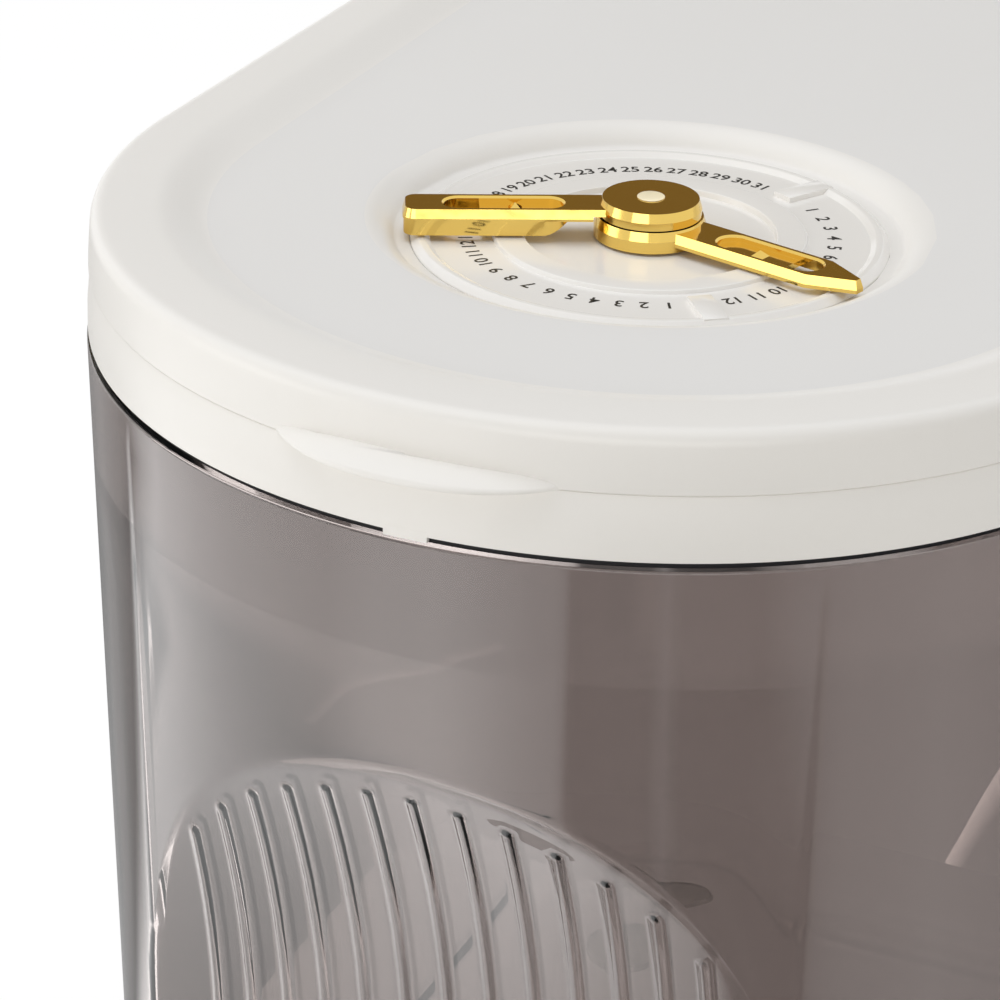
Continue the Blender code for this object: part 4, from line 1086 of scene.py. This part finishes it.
# %% [markdown]
# ## What the mirrors see
# Clear and plated things are drawn by what they mirror. Gold looks like gold only when it has something dark
# to mirror, so a brown card stands high behind the bin for the hands' flat tops. Three small white cards give
# the hands' bevels their glints. The box's walls lean and mirror the table, so a ring lies on the floor round
# the bin and carries the tones that a photographer's room would show in them: bright at the left, dark at
# the right of the front. A ring was chosen because one list of directions and tones then sets every wall.

# %% Cards for the hands
HANDS_SPOT = Vector((0, 0, 0.25))
CARDS = [
    ("card_behind", (1.6, 0.8), (-0.75, 1.3, 0.95), "#7E6C4A", 1.0),
    ("card_glint_right", (0.5, 0.22), (0.6, -1.1, 0.40), "#FFFFFF", 3.2),
    ("card_glint_left", (0.8, 0.35), (-0.95, -0.82, 0.27), "#FFFFFF", 3.0),
    ("card_glint_front", (0.8, 0.35), (0.0, -1.25, 0.46), "#FFFFFF", 3.0),
]


def glow_of(name, strength):
    """A glowing material; returns it with its tree and its emission."""
    made = bpy.data.materials.new(name)
    tree = bare_tree(made)
    tone = add_node(tree, "Emission", {"Strength": strength})
    add_node(tree, "OutputMaterial", {"Surface": tone.outputs[0]})
    return made, tree, tone


def hide_from(card, kinds):
    """Keeps a card out of the named kinds of rays."""
    for kind in kinds:
        setattr(card, "visible_" + kind, False)


for name, size, spot, colour, strength in CARDS:
    glow, _, tone = glow_of(name, strength)
    tone.inputs["Color"].default_value = linear(colour)
    card = placed(name, sheet(*size), glow)
    card.location = spot
    card.rotation_euler = (HANDS_SPOT - card.location).to_track_quat("Z", "Y").to_euler()
    hide_from(card, ("camera", "shadow", "diffuse", "transmission"))
print("cards:", [name for name, *_ in CARDS])

# %% [markdown]
# The ring follows the box's plan and starts 35 mm away from it; any nearer, and it would show through the
# clear floor of the box. Its tones are the stops of one colour ramp, which is read by direction, so they fade
# into each other as soft light does.

# %% The ring of tones round the box
# Directions are counted from the front, to the right, in degrees; tone 1 is paper white.
TONES = [
    (-180, 1.0), (-144, 1.0), (-138, 0.25), (-128, 0.3), (-116, 0.47), (-106, 0.45), (-98, 0.35), (-92, 1.4),
    (-86, 2.35), (-76, 2.4), (-60, 2.2), (-48, 2.1), (-38, 2.0), (-27, 2.5), (-15, 2.6), (-9, 2.3), (2, 1.5),
    (8, 1.2), (10, 0.2), (24, 0.2), (26.5, 0.5), (29, 0.15), (44, 0.1), (50, 0.45), (62, 0.8), (80, 0.9),
    (100, 0.6), (179, 1.0),
]
BRIGHTEST = max(level for _, level in TONES)
RING_START = 35
RING_END = 900
RING_LIFT = 4


def tones_material():
    """The tones as one ramp round the upright axis, from a half turn left to a half turn right."""
    made, tree, tone = glow_of("ring_of_tones", BRIGHTEST)
    place = add_node(tree, "TexCoord").outputs["Object"]
    around = add_node(tree, "TexGradient", {"Vector": place}, gradient_type="RADIAL")
    ramp = add_node(tree, "ValToRGB", {"Fac": around.outputs["Fac"]})
    stops = ramp.color_ramp.elements
    stops[1].position = 1.0
    for i, (direction, level) in enumerate(TONES):
        where = 0.5 + direction / 360
        stop = stops.new(where) if i else stops[0]
        stop.position = where
        stop.color = [level / BRIGHTEST] * 3 + [1]
    tree.links.new(ramp.outputs["Color"], tone.inputs["Color"])
    return made


# The ramp's middle lies along the ring's own X, so its front is drawn along X and then turned forward.
ring_section = ((RING_START, 0), (RING_END, 0), (RING_END, -1), (RING_START, -1))
ring_plan = [ring_at(offset, height - DIAL_Z) for offset, height in ring_section]
ring = skin([[(ARC_Y - y, x, z) for x, y, z in row] for row in ring_plan], closed=True)
tones = placed("ring_of_tones", ring, tones_material())
tones.location = (0, ARC_Y * MM, RING_LIFT * MM)
tones.rotation_euler = (0, 0, math.radians(-90))
hide_from(tones, ("camera", "shadow", "diffuse"))
print("tones round the bin:", len(TONES))

# %% [markdown]
# ## The camera
# A long lens from the right of the front, looking down at 26 degrees, as in the product photograph. Its
# directions are in degrees, its place in millimetres; both were fitted to the lid's outline.

# %% Camera
FROM_RIGHT, DOWN, ROLL = 24.1, 25.83947876, 1.17059162
CAMERA_SPOT = (195.99, DIAL_Y - 495.65, DIAL_Z + 209.2)
FOCAL_LENGTH = 126
SENSOR_WIDTH = 36

side, down, roll = math.radians(FROM_RIGHT), math.radians(DOWN), math.radians(ROLL)
forward = Vector((-math.sin(side) * math.cos(down), math.cos(side) * math.cos(down), -math.sin(down)))
right = Vector((math.cos(side), math.sin(side), 0))
above = right.cross(forward)
image_right = right * math.cos(roll) + above * math.sin(roll)
image_up = above * math.cos(roll) - right * math.sin(roll)

view = bpy.data.cameras.new("product_view")
view.lens = FOCAL_LENGTH
view.sensor_width = SENSOR_WIDTH
view.clip_start = 0.01
camera = bpy.data.objects.new("product_view", view)
turn = Matrix((image_right, image_up, -forward)).transposed().to_4x4()
camera.matrix_world = Matrix.Translation(Vector(CAMERA_SPOT) * MM) @ turn
bpy.context.scene.collection.objects.link(camera)
bpy.context.scene.camera = camera
bpy.context.scene.view_settings.view_transform = "Standard"
print("camera at, mm:", [round(v / MM) for v in camera.matrix_world.translation])
